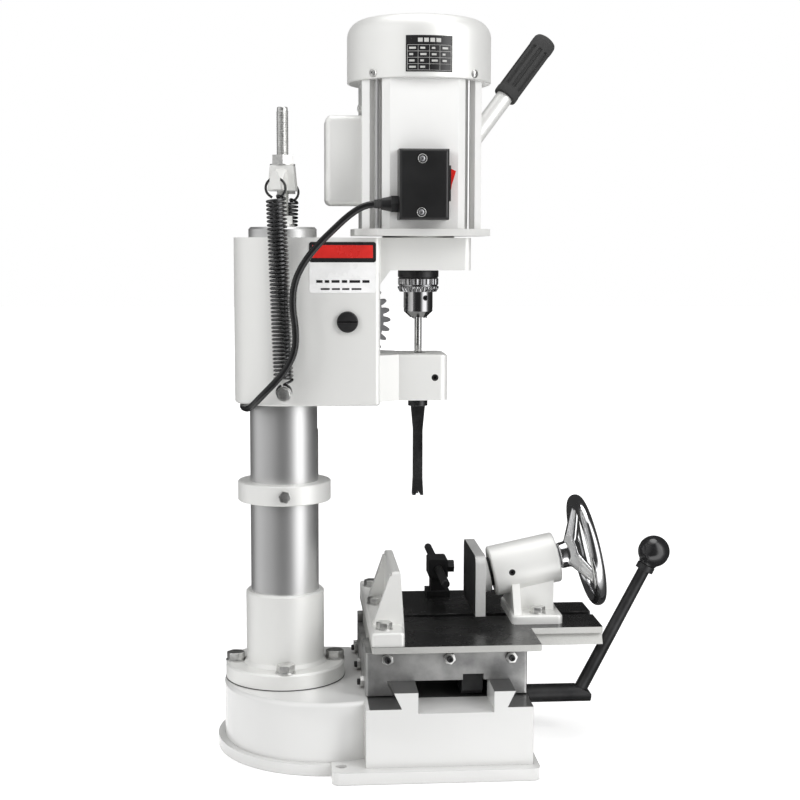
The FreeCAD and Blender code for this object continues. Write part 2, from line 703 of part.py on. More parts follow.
def hollow_chisel():
    nose_z0 = HEAD_BOTTOM + NOSE_LOW
    shank = bar(CHISEL_SHANK_R, (SPINDLE_X, 0, nose_z0 - 3), (SPINDLE_X, 0, nose_z0 + 42))
    collar = bar(11.5, (SPINDLE_X, 0, nose_z0 - 9), (SPINDLE_X, 0, nose_z0))

    def square(half, z):
        corners = [(-half, -half), (half, -half), (half, half), (-half, half), (-half, -half)]
        return Part.makePolygon([Vector(SPINDLE_X + x, y, z) for x, y in corners])

    flare = Part.makeLoft([square(CHISEL_HALF, 374), square(8, nose_z0 - 8)], True)
    blade = Part.makeLoft([square(CHISEL_HALF, 316), square(CHISEL_HALF, 375)], True)
    tip = Part.makeLoft([square(CHISEL_HALF + 1, CHISEL_LOW), square(CHISEL_HALF, 317)], True)
    body = fused(shank, collar, flare, blade, tip)
    reach = CHISEL_HALF + 3
    for turn in (0, 90):
        notch = prism([(SPINDLE_X - 3.4, -reach, CHISEL_LOW - 1), (SPINDLE_X + 3.4, -reach, CHISEL_LOW - 1),
                       (SPINDLE_X, -reach, CHISEL_LOW + 6)], (0, 2 * reach, 0))
        notch.rotate(Vector(SPINDLE_X, 0, 0), UP, turn)
        body = cut(body, notch)
    chute = box(SPINDLE_X - 2.6, SPINDLE_X + 2.6, 0, CHISEL_HALF + 1, 326, 370)
    bore = bar(CHISEL_BORE, (SPINDLE_X, 0, CHISEL_LOW - 1), (SPINDLE_X, 0, nose_z0 + 43))
    return cut(body, bore, chute)


# ---- feed gear and lever on the head ----
def feed_gear():
    body = gear(GEAR_MODULE, GEAR_TEETH, GEAR_WIDE / 2)
    body.rotate(Vector(), RIGHT, 90)
    body.translate(Vector(GEAR_X, 0, GEAR_Z))
    half = GEAR_WIDE / 2
    return cut(body, bar(SHAFT_R, (GEAR_X, -half, GEAR_Z), (GEAR_X, half, GEAR_Z)))


def feed_shaft():
    body = bar(SHAFT_R, (GEAR_X, -SHAFT_FRONT, GEAR_Z), (GEAR_X, HUB_Y1 - 3, GEAR_Z))
    body = body.makeChamfer(1, [e for e in body.Edges if isinstance(e.Curve, Part.Circle)])
    slit = box(GEAR_X - SHAFT_R - 1, GEAR_X + SHAFT_R + 1, -SHAFT_FRONT - 1, -SHAFT_FRONT + 2.5,
               GEAR_Z - 1.2, GEAR_Z + 1.2)
    return cut(body, slit)


def lever_line(distance):
    rise, splay = math.radians(LEVER_RISE), math.radians(LEVER_SPLAY)
    reach = distance * math.cos(splay)
    return (GEAR_X + reach * math.cos(rise), LEVER_Y + distance * math.sin(splay),
            GEAR_Z + reach * math.sin(rise))


def lever_hub():
    body = bar(HUB_R, (GEAR_X, HUB_Y0, GEAR_Z), (GEAR_X, HUB_Y1, GEAR_Z))
    body = body.makeChamfer(1.5, [e for e in body.Edges if isinstance(e.Curve, Part.Circle)])
    neck = bar(LEVER_R + 3.5, lever_line(8), lever_line(34))
    body = fused(body, neck)
    return cut(body, bar(SHAFT_R, (GEAR_X, HUB_Y0, GEAR_Z), (GEAR_X, HUB_Y1 - 3, GEAR_Z)),
               bar(LEVER_R, lever_line(17), lever_line(36)))


def lever_arm():
    body = bar(LEVER_R, lever_line(17), lever_line(LEVER_LONG - 6))
    return cut(body, bar(LEVER_R - 2.5, lever_line(40), lever_line(LEVER_LONG - 5)),
               bar(SHAFT_R + 0.3, (GEAR_X, HUB_Y0, GEAR_Z), (GEAR_X, HUB_Y1, GEAR_Z)))


def lever_grip():
    body = bar(GRIP_R, lever_line(LEVER_LONG - GRIP_LONG), lever_line(LEVER_LONG))
    rounds = [e for e in body.Edges if isinstance(e.Curve, Part.Circle)]
    body = body.makeFillet(4, rounds)
    return cut(body, bar(LEVER_R, lever_line(LEVER_LONG - GRIP_LONG - 1), lever_line(LEVER_LONG - 6)))


# ---- motor ----
def motor_outline(half, flat, z0, z1):
    corners = [(-half, -flat), (-flat, -half), (flat, -half), (half, -flat),
               (half, flat), (flat, half), (-flat, half), (-half, flat)]
    return prism([(SPINDLE_X + x, y, z0) for x, y in corners], (0, 0, z1 - z0))


def tie_rod_places():
    return [(sx * TIE_ROD_AT, sy * TIE_ROD_AT) for sx in (-1, 1) for sy in (-1, 1)]


def about_spindle(radius, z0, z1):
    return bar(radius, (SPINDLE_X, 0, z0), (SPINDLE_X, 0, z1))


def motor_plate():
    body = motor_outline(MOTOR_PLATE_HALF, MOTOR_PLATE_HALF - 24, MOTOR_PLATE_Z, MOTOR_LOW)
    pad = about_spindle(42, HEAD_TOP, MOTOR_PLATE_Z + 1)
    seat = about_spindle(BEARING_R + 5, MOTOR_LOW - 1, MOTOR_LOW + BEARING_WIDE)
    body = fused(body, pad, seat)
    body = cut(body, about_spindle(SPINDLE_R + 3, HEAD_TOP - 1, MOTOR_LOW + 1),
               about_spindle(BEARING_R, MOTOR_LOW, MOTOR_LOW + BEARING_WIDE + 1))
    for dx, dy in tie_rod_places():
        x = SPINDLE_X + dx
        body = cut(body, bar(TIE_ROD_R, (x, dy, MOTOR_PLATE_Z - 1), (x, dy, MOTOR_LOW + 1)))
    return body


UPPER_BEARING_Z = MOTOR_TOP - 4


def motor_housing():
    body = motor_outline(MOTOR_HALF, MOTOR_FLAT, MOTOR_LOW, MOTOR_TOP)
    rim = (MOTOR_HALF + MOTOR_FLAT) / math.sqrt(2)
    floor = SPINDLE_X + rim - TIE_GROOVE_DEEP
    for turn in (45, 135, 225, 315):
        groove = box(floor, floor + 2 * TIE_GROOVE_DEEP, -TIE_GROOVE_HALF, TIE_GROOVE_HALF,
                     MOTOR_LOW - 1, MOTOR_TOP + 1)
        groove.rotate(Vector(SPINDLE_X, 0, 0), UP, turn)
        body = cut(body, groove)
    shield = about_spindle(COVER_R - COVER_WALL, COVER_Z, COVER_Z + 10)
    body = fused(cut(body, about_spindle(MOTOR_BORE, MOTOR_LOW - 1, MOTOR_TOP - 8)), shield)
    body = cut(body, about_spindle(BEARING_R, UPPER_BEARING_Z, UPPER_BEARING_Z + BEARING_WIDE + 1),
               about_spindle(SPINDLE_R + 3, MOTOR_TOP - 20, MOTOR_TOP + 20))
    for dx, dy in tie_rod_places():
        body = cut(body, bar(TIE_ROD_R, (SPINDLE_X + dx, dy, COVER_Z - 1), (SPINDLE_X + dx, dy, COVER_Z + 6)))
    return body


def motor_bearings():
    bearings = []
    for z in (MOTOR_LOW, UPPER_BEARING_Z):
        bearings.append(cut(about_spindle(BEARING_R, z, z + BEARING_WIDE),
                            about_spindle(SPINDLE_R + 0.03, z, z + BEARING_WIDE)))
    return bearings


STACK_Z = (MOTOR_LOW + MOTOR_TOP) / 2 - STACK_LONG / 2


def motor_stator():
    core = cut(about_spindle(MOTOR_BORE, STACK_Z, STACK_Z + STACK_LONG),
               about_spindle(ROTOR_R + AIR_GAP, STACK_Z, STACK_Z + STACK_LONG))
    windings = []
    for z in (STACK_Z - 16, STACK_Z + STACK_LONG):
        windings.append(cut(about_spindle(MOTOR_BORE - 6, z, z + 16), about_spindle(ROTOR_R + 5, z, z + 16)))
    return fused(core, *windings)


def motor_rotor():
    shaft = about_spindle(SPINDLE_R, SLEEVE_Z1 - 14, MOTOR_TOP + 34)
    shoulder = about_spindle(SPINDLE_R + 2, MOTOR_LOW + BEARING_WIDE + 0.5, UPPER_BEARING_Z - 0.5)
    return fused(shaft, shoulder, about_spindle(ROTOR_R, STACK_Z, STACK_Z + STACK_LONG))


def cooling_fan():
    z0 = COVER_Z + 16
    disc = about_spindle(FAN_R, z0, z0 + 2.5)
    blades = []
    for k in range(8):
        blade = box(SPINDLE_X + 20, SPINDLE_X + FAN_R - 2, -1.2, 1.2, z0, z0 + 22)
        blade.rotate(Vector(SPINDLE_X, 0, 0), UP, 45 * k)
        blades.append(blade)
    body = fused(disc, about_spindle(16, z0, z0 + 18), *blades)
    return cut(body, about_spindle(SPINDLE_R, z0 - 1, z0 + 30))


def fan_cover():
    dome = about_spindle(COVER_R, COVER_Z, COVER_TOP)
    outer = dome.makeFillet(COVER_ROUND, edges_at_height(dome, COVER_TOP))
    blank = about_spindle(COVER_R - COVER_WALL, COVER_Z - 1, COVER_TOP - COVER_WALL)
    inner = blank.makeFillet(COVER_ROUND - COVER_WALL, edges_at_height(blank, COVER_TOP - COVER_WALL))
    return cut(outer, inner)


def motor_tie_rods():
    return [
        bar(TIE_ROD_R, (SPINDLE_X + dx, dy, MOTOR_PLATE_Z), (SPINDLE_X + dx, dy, COVER_Z + 6))
        for dx, dy in tie_rod_places()
    ]


def capacitor_box():
    x1 = SPINDLE_X - MOTOR_HALF
    body = box(CAP_BOX_X, x1, -CAP_BOX_HALF, CAP_BOX_HALF, CAP_BOX_Z0, CAP_BOX_Z1)
    body = body.makeFillet(7, [e for e in body.Edges if e.BoundBox.XMin < CAP_BOX_X + 0.1])
    room = box(CAP_BOX_X + 3, x1 + 1, -CAP_BOX_HALF + 3, CAP_BOX_HALF - 3, CAP_BOX_Z0 + 3, CAP_BOX_Z1 - 3)
    return cut(body, room)


def capacitor():
    x = (CAP_BOX_X + SPINDLE_X - MOTOR_HALF) / 2 + 1
    return bar((SPINDLE_X - MOTOR_HALF - CAP_BOX_X) / 2 - 3, (x, 0, CAP_BOX_Z0 + 3), (x, 0, CAP_BOX_Z1 - 16))


def switch_box():
    body = box(SWITCH_X0, SWITCH_X1, -SWITCH_FRONT, -MOTOR_HALF, SWITCH_Z0, SWITCH_Z1)
    front = [e for e in body.Edges if e.BoundBox.YMax < -SWITCH_FRONT + 0.1]
    body = body.makeFillet(4, front)
    frame = box(SWITCH_X1 - 1, SWITCH_X1 + 2, -SWITCH_FRONT + 5, -MOTOR_HALF - 4,
                ROCKER_Z - ROCKER_HALF - 3, ROCKER_Z + ROCKER_HALF + 3)
    body = fused(body, frame)
    room = box(SWITCH_X0 + 3, SWITCH_X1 - 3, -SWITCH_FRONT + 3, -MOTOR_HALF + 1, SWITCH_Z0 + 3, SWITCH_Z1 - 3)
    y = -(SWITCH_FRONT + MOTOR_HALF) / 2
    half = ROCKER_WIDE / 2 + 0.4
    hatch = box(SWITCH_X1 - 4, SWITCH_X1 + 3, y - half, y + half,
                ROCKER_Z - ROCKER_HALF - 0.4, ROCKER_Z + ROCKER_HALF + 0.4)
    return cut(body, room, hatch, rocker_pin(ROCKER_PIN_R + RUN))


def rocker_pin(radius):
    y = -(SWITCH_FRONT + MOTOR_HALF) / 2
    reach = ROCKER_WIDE / 2 + 3
    x = SWITCH_X1 - ROCKER_PIN_IN
    return bar(radius, (x, y - reach, ROCKER_Z), (x, y + reach, ROCKER_Z))


def switch_rocker():
    y = -(SWITCH_FRONT + MOTOR_HALF) / 2
    x = SWITCH_X1
    half = ROCKER_WIDE / 2
    low, high = ROCKER_Z - ROCKER_HALF, ROCKER_Z + ROCKER_HALF
    side = [(x - 3, low + 2), (x + 1, low + 0.8), (x + 3.6, ROCKER_Z - 1), (x + 8, high - 3),
            (x + 3, high - 0.6), (x - 3, high - 3), (x - 6, ROCKER_Z)]
    body = prism([(px, y - half, pz) for px, pz in side], (0, ROCKER_WIDE, 0))
    return fused(body, rocker_pin(ROCKER_PIN_R))


def cable_gland():
    nut = hexagon(18, (SWITCH_X0 - 8, GLAND_Y, GLAND_Z), (SWITCH_X0, GLAND_Y, GLAND_Z))
    dome = cone(6.5, 8.6, (GLAND_X, GLAND_Y, GLAND_Z), (SWITCH_X0 - 8, GLAND_Y, GLAND_Z))
    bore = bar(LEAD_R, (SWITCH_X0 - 9, GLAND_Y, GLAND_Z), (SWITCH_X0 + 1, GLAND_Y, GLAND_Z))
    return cut(fused(nut, dome), bore)


def case_screws():
    """Pan head screws of the fan cover, switch box and capacitor box."""
    screws = []
    z = COVER_Z + 6
    for turn in (-133, -47, 47, 133):
        dx, dy = math.cos(math.radians(turn)), math.sin(math.radians(turn))
        near, far = COVER_R, COVER_R + 2.6
        screws.append(bar(4, (SPINDLE_X + near * dx, near * dy, z), (SPINDLE_X + far * dx, far * dy, z)))
    front = -SWITCH_FRONT
    for x, z in ((SWITCH_X0 + 25, SWITCH_Z1 - 11), (SWITCH_X0 + 24.2, SWITCH_Z0 + 8.2)):
        screws.append(bar(3.6, (x, front, z), (x, front - 2, z)))
    x = SPINDLE_X - MOTOR_HALF
    screws.append(bar(4, (x, 0, CAP_BOX_Z1 + 10), (x - 2.5, 0, CAP_BOX_Z1 + 10)))
    return screws


# ---- spindle ----
def jaw_pin(turn, low, high, radius):
    lean = math.radians(CHUCK_JAW_LEAN)
    foot = BIT_R + radius / math.cos(lean) + 0.05
    pin = bar(radius, (foot + low * math.tan(lean), 0, low), (foot + high * math.tan(lean), 0, high))
    pin.rotate(Vector(), UP, turn)
    pin.translate(Vector(SPINDLE_X, 0, CHUCK_Z0))
    return pin


def chuck_body():
    profile = [(0, CHUCK_Z0), (CHUCK_NOSE_R, CHUCK_Z0), (CHUCK_R, CHUCK_Z0 + 7), (CHUCK_R, SLEEVE_Z1 + 2),
               (0, SLEEVE_Z1 + 2)]
    body = turned(profile, (SPINDLE_X, 0, 0))
    throat = bar(BIT_R + 0.2, (SPINDLE_X, 0, CHUCK_Z0 - 1), (SPINDLE_X, 0, CHUCK_Z0 + 34))
    taper = bar(SPINDLE_R, (SPINDLE_X, 0, SLEEVE_Z1 - 14), (SPINDLE_X, 0, SLEEVE_Z1 + 3))
    key = bar(3.2, (SPINDLE_X, -CHUCK_R - 1, SLEEVE_Z0 - 7), (SPINDLE_X, -CHUCK_R + 6, SLEEVE_Z0 - 7))
    key.rotate(Vector(SPINDLE_X, 0, 0), UP, 25)
    holes = [jaw_pin(turn, -8, 27, CHUCK_JAW_R) for turn in (0, 120, 240)]
    return cut(body, throat, taper, key, *holes)


def chuck_jaws():
    return [jaw_pin(turn, -1.0, 27, CHUCK_JAW_R) for turn in (0, 120, 240)]


def chuck_sleeve():
    teeth = 30
    body = about_spindle(SLEEVE_R, SLEEVE_Z0, SLEEVE_Z1)
    body = cut(body, about_spindle(CHUCK_R + RUN, SLEEVE_Z0, SLEEVE_Z1))
    rim = [e for e in edges_at_height(body, SLEEVE_Z1) if e.BoundBox.XLength > 2 * CHUCK_R + 2]
    body = body.makeChamfer(1.2, rim)
    x = SPINDLE_X + CHUCK_R + 2
    low, high = SLEEVE_Z0 - 0.1, SLEEVE_Z0 + 4
    notch = [(x, -1.5, low), (x, 1.5, low), (x, 0.4, high), (x, -0.4, high)]
    slots = []
    for k in range(teeth):
        slot = prism(notch, (SLEEVE_R, 0, 0))
        slot.rotate(Vector(SPINDLE_X, 0, 0), UP, 360 * k / teeth)
        slots.append(slot)
    return cut(body, *slots)


def auger_bit():
    shank = about_spindle(BIT_R, BIT_LOW + 8, CHUCK_Z0 + 26)
    tip = cone(1, BIT_R, (SPINDLE_X, 0, BIT_LOW), (SPINDLE_X, 0, BIT_LOW + 8))
    return fused(shank, tip)


# ---- saddle and its feed ----
def slanted_channel(x0, x1, y0, y1, z0, z1, lean):
    """Channel along X that is narrower at the top by lean on each side."""
    points = [(x0, y0, z0), (x0, y1, z0), (x0, y1 - lean, z1), (x0, y0 + lean, z1)]
    return prism(points, (x1 - x0, 0, 0))


def rail_channel(low, left, right):
    """Space over the base dovetail, from height low up to the rail tops."""
    drop = (RAIL_TOP - low) * LOW_LEAN
    y0, span = SADDLE_Y0 - 1, SADDLE_Y1 - SADDLE_Y0 + 2
    points = [(RAIL_OUT_X0 - left + drop, y0, low), (RAIL_OUT_X0 - left, y0, RAIL_TOP),
              (RAIL_OUT_X1 + right, y0, RAIL_TOP), (RAIL_OUT_X1 + right - drop, y0, low)]
    return prism(points, (0, span, 0))


def front_screw(radius, x, start, end):
    """Bar from the saddle front (plus start) to the front adjusting strip (plus end)."""
    return bar(radius, (x, SADDLE_Y0 + start, FRONT_SCREW_Z), (x, FRONT_STRIP_Y + end, FRONT_SCREW_Z))


def side_screw(radius, y, start, end):
    return bar(radius, (SADDLE_X0 + start, y, SIDE_SCREW_Z), (SIDE_STRIP_X + end, y, SIDE_SCREW_Z))


def saddle():
    body = box(SADDLE_X0, SADDLE_X1, SADDLE_Y0, SADDLE_Y1, SADDLE_Z, SADDLE_TOP)
    body = upright_edges(body, 3)
    way_y0, way_y1 = SLIDE_Y0 - GIB_THICK - GIB_FIT, SLIDE_Y1 + GIB_FIT
    table_way = slanted_channel(SADDLE_X0 - 1, SADDLE_X1 + 1, way_y0, way_y1, SLIDE_Z, SADDLE_TOP, SLIDE_LEAN)
    rack_seat = box(PINION_X0, PINION_X1, SADDLE_Y0 - 1, SADDLE_Y1 + 1, RAIL_TOP - 1, RACK_BAR_TOP)
    body = cut(body, rail_channel(SADDLE_Z - 1, GIB_THICK + GIB_FIT, GIB_FIT), table_way, rack_seat)
    front = [front_screw(GIB_SCREW_R, x, -1, 3) for x in FRONT_SCREW_X]
    side = [side_screw(GIB_SCREW_R, y, -1, 3) for y in SIDE_SCREW_Y]
    body = cut(body, *front, *side)
    return body


def gib_strips():
    """Adjusting strips: one beside the base dovetail, one beside the table slide."""
    low, high = SADDLE_Z + 0.5, RAIL_TOP - 0.5
    y0, y1 = SADDLE_Y0 + 1, SADDLE_Y1 - 1

    def flank(z):
        return RAIL_OUT_X0 + (RAIL_TOP - z) * LOW_LEAN

    side = prism([(flank(low) - GIB_THICK, y0, low), (flank(low) - GIB_FIT, y0, low),
                  (flank(high) - GIB_FIT, y0, high), (flank(high) - GIB_THICK, y0, high)], (0, y1 - y0, 0))
    low2, high2 = SLIDE_Z + 0.5, SADDLE_TOP - 0.5

    def way(z):
        return SLIDE_Y0 + (z - SLIDE_Z) * TOP_LEAN

    x0, x1 = SADDLE_X0 + 1, SADDLE_X1 - 1
    front = prism([(x0, way(low2) - GIB_THICK, low2), (x0, way(low2) - GIB_FIT, low2),
                   (x0, way(high2) - GIB_FIT, high2), (x0, way(high2) - GIB_THICK, high2)], (x1 - x0, 0, 0))
    return [side, front]


def gib_screws():
    screws = []
    for x in FRONT_SCREW_X:
        pin = front_screw(GIB_SCREW_R, x, -8, -GIB_SCREW_SHORT)
        nut = hexagon(10, (x, SADDLE_Y0 - 4.5, FRONT_SCREW_Z), (x, SADDLE_Y0, FRONT_SCREW_Z))
        screws.append(fused(pin, nut))
    for y in SIDE_SCREW_Y:
        pin = side_screw(GIB_SCREW_R, y, -8, -GIB_SCREW_SHORT)
        nut = hexagon(10, (SADDLE_X0 - 4.5, y, SIDE_SCREW_Z), (SADDLE_X0, y, SIDE_SCREW_Z))
        screws.append(fused(pin, nut))
    return screws


def saddle_rack():
    outline = rack_profile(PINION_MODULE, -SADDLE_RACK_HALF, SADDLE_RACK_HALF, RACK_PITCH_Z - RACK_BAR_TOP, 0)
    points = [(PINION_X0, along, RACK_PITCH_Z - depth) for along, depth in outline]
    return prism(points, (PINION_X1 - PINION_X0, 0, 0))


def pinion_shaft():
    wheel = gear(PINION_MODULE, PINION_TEETH, (PINION_X1 - PINION_X0) / 2)
    wheel.rotate(Vector(), BACK, 90)
    wheel.translate(Vector((PINION_X0 + PINION_X1) / 2, 0, PINION_Z))
    shaft = bar(PINION_SHAFT_R, (INNER_BOSS_X0 - 3, 0, PINION_Z), (PINION_SHAFT_END, 0, PINION_Z))
    above_weld = bar(3 * PINION_SHAFT_R, on_arm(0), on_arm(6 * PINION_SHAFT_R))
    return cut(fused(shaft, wheel), above_weld, bar(ARM_PEG_R, on_arm(-ARM_PEG_LONG), on_arm(1)))


def on_arm(along):
    """Place on the lever's axis, from the face where it is welded to the shaft."""
    foot, ball = Vector(ARM_FOOT_X, 0, ARM_FOOT_Z), Vector(BALL_X, 0, BALL_Z)
    return tuple(foot + (ball - foot).normalize() * along)


def feed_arm():
    long = math.hypot(BALL_X - ARM_FOOT_X, BALL_Z - ARM_FOOT_Z)
    peg = bar(ARM_PEG_R, on_arm(-ARM_PEG_LONG), on_arm(1))
    collar = bar(ARM_TOP_R + 4, on_arm(long - BALL_R - 7), on_arm(long - BALL_R))
    body = fused(cone(ARM_FOOT_R, ARM_TOP_R, on_arm(0), on_arm(long)), peg, collar)
    return cut(body, arm_ball())


def arm_ball():
    return Part.makeSphere(BALL_R, Vector(BALL_X, 0, BALL_Z))


# ---- table ----
def table_plate():
    plate = upright_edges(box(TABLE_X0, TABLE_X1, TABLE_Y0, TABLE_Y1, TABLE_Z, TABLE_TOP), 3)
    slide = slanted_channel(TABLE_X0, SLIDE_X1, SLIDE_Y0, SLIDE_Y1, SLIDE_Z, SADDLE_TOP, SLIDE_LEAN)
    riser = box(TABLE_X0, SLIDE_X1, SLIDE_Y0 + SLIDE_LEAN, SLIDE_Y1 - SLIDE_LEAN, SADDLE_TOP, TABLE_Z + 1)
    tongue = upright_edges(box(TABLE_X1 - 5, SLIDE_X1, SLIDE_Y0, SLIDE_Y1, TABLE_Z, TABLE_TOP), 3,
                           lambda e: e.BoundBox.XMin > SLIDE_X1 - 1)
    groove = box(FENCE_X1 + 3, SLIDE_X1 + 1, GROOVE_Y - GROOVE_WIDE / 2, GROOVE_Y + GROOVE_WIDE / 2,
                 TABLE_TOP - GROOVE_DEEP, TABLE_TOP + 1)
    body = cut(fused(plate, slide, riser, tongue), groove)
    for x, y, _ in clamp_bolt_places():
        body = cut(body, bar(CLAMP_BOLT_R, (x, y, TABLE_TOP - 6), (x, y, TABLE_TOP + 1)))
    return body


def clamp_bolt_places():
    """Bolts of the fence and the vise foot, with the height of the face under the head."""
    on_fence = [(x, y, TABLE_TOP + FENCE_FOOT) for x, y in FENCE_BOLTS]
    on_foot = [(VISE_BOLT_X, VISE_Y + side * VISE_BOLT_AT, TABLE_TOP + VISE_FOOT_THICK) for side in (-1, 1)]
    return on_fence + on_foot


def clamp_bolts():
    return [hex_bolt(CLAMP_BOLT_FLATS, CLAMP_BOLT_R, place, (0, 0, 1), place[2] - TABLE_TOP + 5.5, washer=1.8)
            for place in clamp_bolt_places()]


def fence():
    foot_top = TABLE_TOP + FENCE_FOOT
    foot = upright_edges(box(TABLE_X0, FENCE_X1, FENCE_FOOT_Y0, FENCE_FOOT_Y1, TABLE_TOP, foot_top), 4)
    foot = foot.makeFillet(3, edges_at_height(foot, foot_top))
    wall = prism([(FENCE_X1 - 13, FENCE_Y0, TABLE_TOP), (FENCE_X1 + 3.2, FENCE_Y0, TABLE_TOP),
                  (FENCE_X1 - 2, FENCE_Y0, FENCE_TOP), (FENCE_X1 - 12, FENCE_Y0, FENCE_TOP)],
                 (0, FENCE_Y1 - FENCE_Y0, 0))
    wall = wall.makeFillet(3, edges_at_height(wall, FENCE_TOP))
    low = foot_top - 4
    webs = [prism([(TABLE_X0 + 2, y, low), (FENCE_X1 - 8, y, low), (FENCE_X1 - 8, y, FENCE_TOP - 5),
                   (FENCE_X1 - 14, y, FENCE_TOP - 5)], (0, FENCE_WEB, 0))
            for y in (FENCE_Y0, FENCE_Y1 - FENCE_WEB)]
    body = fused(foot, wall, *webs)
    for x, y, z in clamp_bolt_places()[:3]:
        body = cut(body, bar(CLAMP_BOLT_R + 0.4, (x, y, TABLE_TOP - 1), (x, y, z + 1)))
        body = cut(body, bar(CLAMP_BOLT_R * 2 + 1, (x, y, z), (x, y, z + 12)))
    return body


def on_vise(along, side=0.0, height=0.0):
    tilt = math.radians(VISE_TILT)
    return (BARREL_X0 + along * math.cos(tilt) - height * math.sin(tilt), VISE_Y + side,
            BARREL_Z0 + along * math.sin(tilt) + height * math.cos(tilt))


def vise_body():
    barrel = bar(BARREL_R, on_vise(0), on_vise(BARREL_LONG))
    barrel = barrel.makeFillet(2.5, [e for e in barrel.Edges if isinstance(e.Curve, Part.Circle)])
    foot_z = TABLE_TOP + VISE_FOOT_THICK
    foot = upright_edges(box(VISE_FOOT_X0, VISE_FOOT_X1, VISE_Y - VISE_FOOT_HALF, VISE_Y + VISE_FOOT_HALF,
                             TABLE_TOP, foot_z), 6)
    foot = foot.makeFillet(2.5, edges_at_height(foot, foot_z))
    stem = box(VISE_FOOT_X0 + 4, VISE_FOOT_X1 - 6, VISE_Y - 19, VISE_Y + 19, foot_z - 2, BARREL_Z0 + 6)
    x, low, high = VISE_FOOT_X0 + 3, foot_z - 1, BARREL_Z0 - 8
    web = prism([(x, VISE_Y - VISE_FOOT_HALF + 5, low), (x, VISE_Y - BARREL_R + 6, high),
                 (x, VISE_Y + BARREL_R - 6, high), (x, VISE_Y + VISE_FOOT_HALF - 5, low)], (9, 0, 0))
    body = fused(barrel, foot, stem, web)
    quill_room = bar(QUILL_R + RUN, on_vise(-1), on_vise(BARREL_LONG - 14))
    screw_hole = bar(SCREW_R + RUN, on_vise(BARREL_LONG - 15), on_vise(BARREL_LONG + 1))
    body = cut(body, quill_room, screw_hole)
    for x, y, z in clamp_bolt_places()[3:]:
        body = cut(body, bar(CLAMP_BOLT_R + 0.4, (x, y, TABLE_TOP - 1), (x, y, z + 1)),
                   bar(CLAMP_BOLT_R * 2 + 0.5, (x, y, z), (x, y, z + 14)))
    return cut(body, bar(DOG_R, on_vise(DOG_AT, -BARREL_R - 1), on_vise(DOG_AT, -QUILL_R + 1)))


def vise_quill():
    keyway = 3.2
    body = bar(QUILL_R, on_vise(-16), on_vise(BARREL_LONG - 26))
    y = VISE_Y - QUILL_R
    slot = box(BARREL_X0 - 40, BARREL_X0 + 120, y - 1, y + keyway, 0, 400)
    tilt_slot = prism([on_vise(-8, -QUILL_R - 1, -4.3), on_vise(-8, -QUILL_R - 1, 4.3),
                       on_vise(BARREL_LONG, -QUILL_R - 1, 4.3), on_vise(BARREL_LONG, -QUILL_R - 1, -4.3)],
                      (0, keyway + 1, 0))
    return cut(body, tilt_slot.common(slot), bar(SCREW_R + RUN, on_vise(-2), on_vise(BARREL_LONG)))


def vise_jaw():
    tilt = math.radians(VISE_TILT)
    x1 = BARREL_X0 - 14.5
    x0 = x1 - JAW_THICK
    plate = box(x0, x1, JAW_Y0, JAW_Y1, JAW_LOW, JAW_TOP)
    along_x = [e for e in plate.Edges if straight_along(e, RIGHT) and e.BoundBox.ZMin > JAW_TOP - 1]
    plate = plate.makeFillet(10, along_x)
    boss = bar(QUILL_R + 6, on_vise(-22), on_vise(-4))
    boss = boss.common(box(x0 + 4, x1 + 30, -100, 150, 100, 300))
    return cut(fused(plate, boss), bar(QUILL_R, on_vise(-16), on_vise(0)))


def vise_screw():
    hub_end = WHEEL_AT - WHEEL_DISH + 9
    thread = bar(SCREW_R, on_vise(4), on_vise(hub_end + 3))
    collar = bar(12, on_vise(BARREL_LONG + 0.4), on_vise(BARREL_LONG + 3))
    nut = bar(WHEEL_NUT_R, on_vise(hub_end - 4), on_vise(hub_end + 2))
    return fused(thread, collar, nut)


def handwheel():
    centre = Vector(*on_vise(WHEEL_AT))
    axis = Vector(*on_vise(1)) - Vector(*on_vise(0))
    rim = Part.makeTorus(WHEEL_R, WHEEL_RIM_R, centre, axis)
    root = WHEEL_AT - WHEEL_DISH
    hub = fused(bar(WHEEL_HUB_R, on_vise(BARREL_LONG + 3.5), on_vise(root - 5)),
                cone(WHEEL_HUB_R, WHEEL_FLARE_R, on_vise(root - 5), on_vise(root + 2)),
                cone(WHEEL_FLARE_R, WHEEL_HUB_R, on_vise(root + 2), on_vise(root + 9)))
    spokes = []
    for turn in (90, 210, 330):
        a = math.radians(turn)
        inner = on_vise(root, 14 * math.cos(a), 14 * math.sin(a))
        outer = on_vise(WHEEL_AT, WHEEL_R * math.cos(a), WHEEL_R * math.sin(a))
        spokes.append(cone(9, 5.5, inner, outer))
    return cut(fused(rim, hub, *spokes), bar(SCREW_R, on_vise(BARREL_LONG), on_vise(WHEEL_AT)),
               bar(WHEEL_NUT_R, on_vise(root + 5), on_vise(root + 10)))


def lock_screws():
    """Socket screw that guides the vise quill, and hex screw that locks the work stop rod."""
    dog = bar(DOG_R, on_vise(DOG_AT, -QUILL_R + 2.6), on_vise(DOG_AT, -BARREL_R + 1.5))
    dog = cut(dog, hexagon(DOG_R, on_vise(DOG_AT, -BARREL_R + 5), on_vise(DOG_AT, -BARREL_R + 1)))
    x = STOP_X + 12.5
    stop = fused(bar(LOCK_R, (STOP_X + STOP_ROD_R + 0.3, STOP_LOCK_Y, STOP_Z), (x, STOP_LOCK_Y, STOP_Z)),
                 hexagon(LOCK_FLATS, (x, STOP_LOCK_Y, STOP_Z), (x + 9, STOP_LOCK_Y, STOP_Z)))
    return [dog, stop]


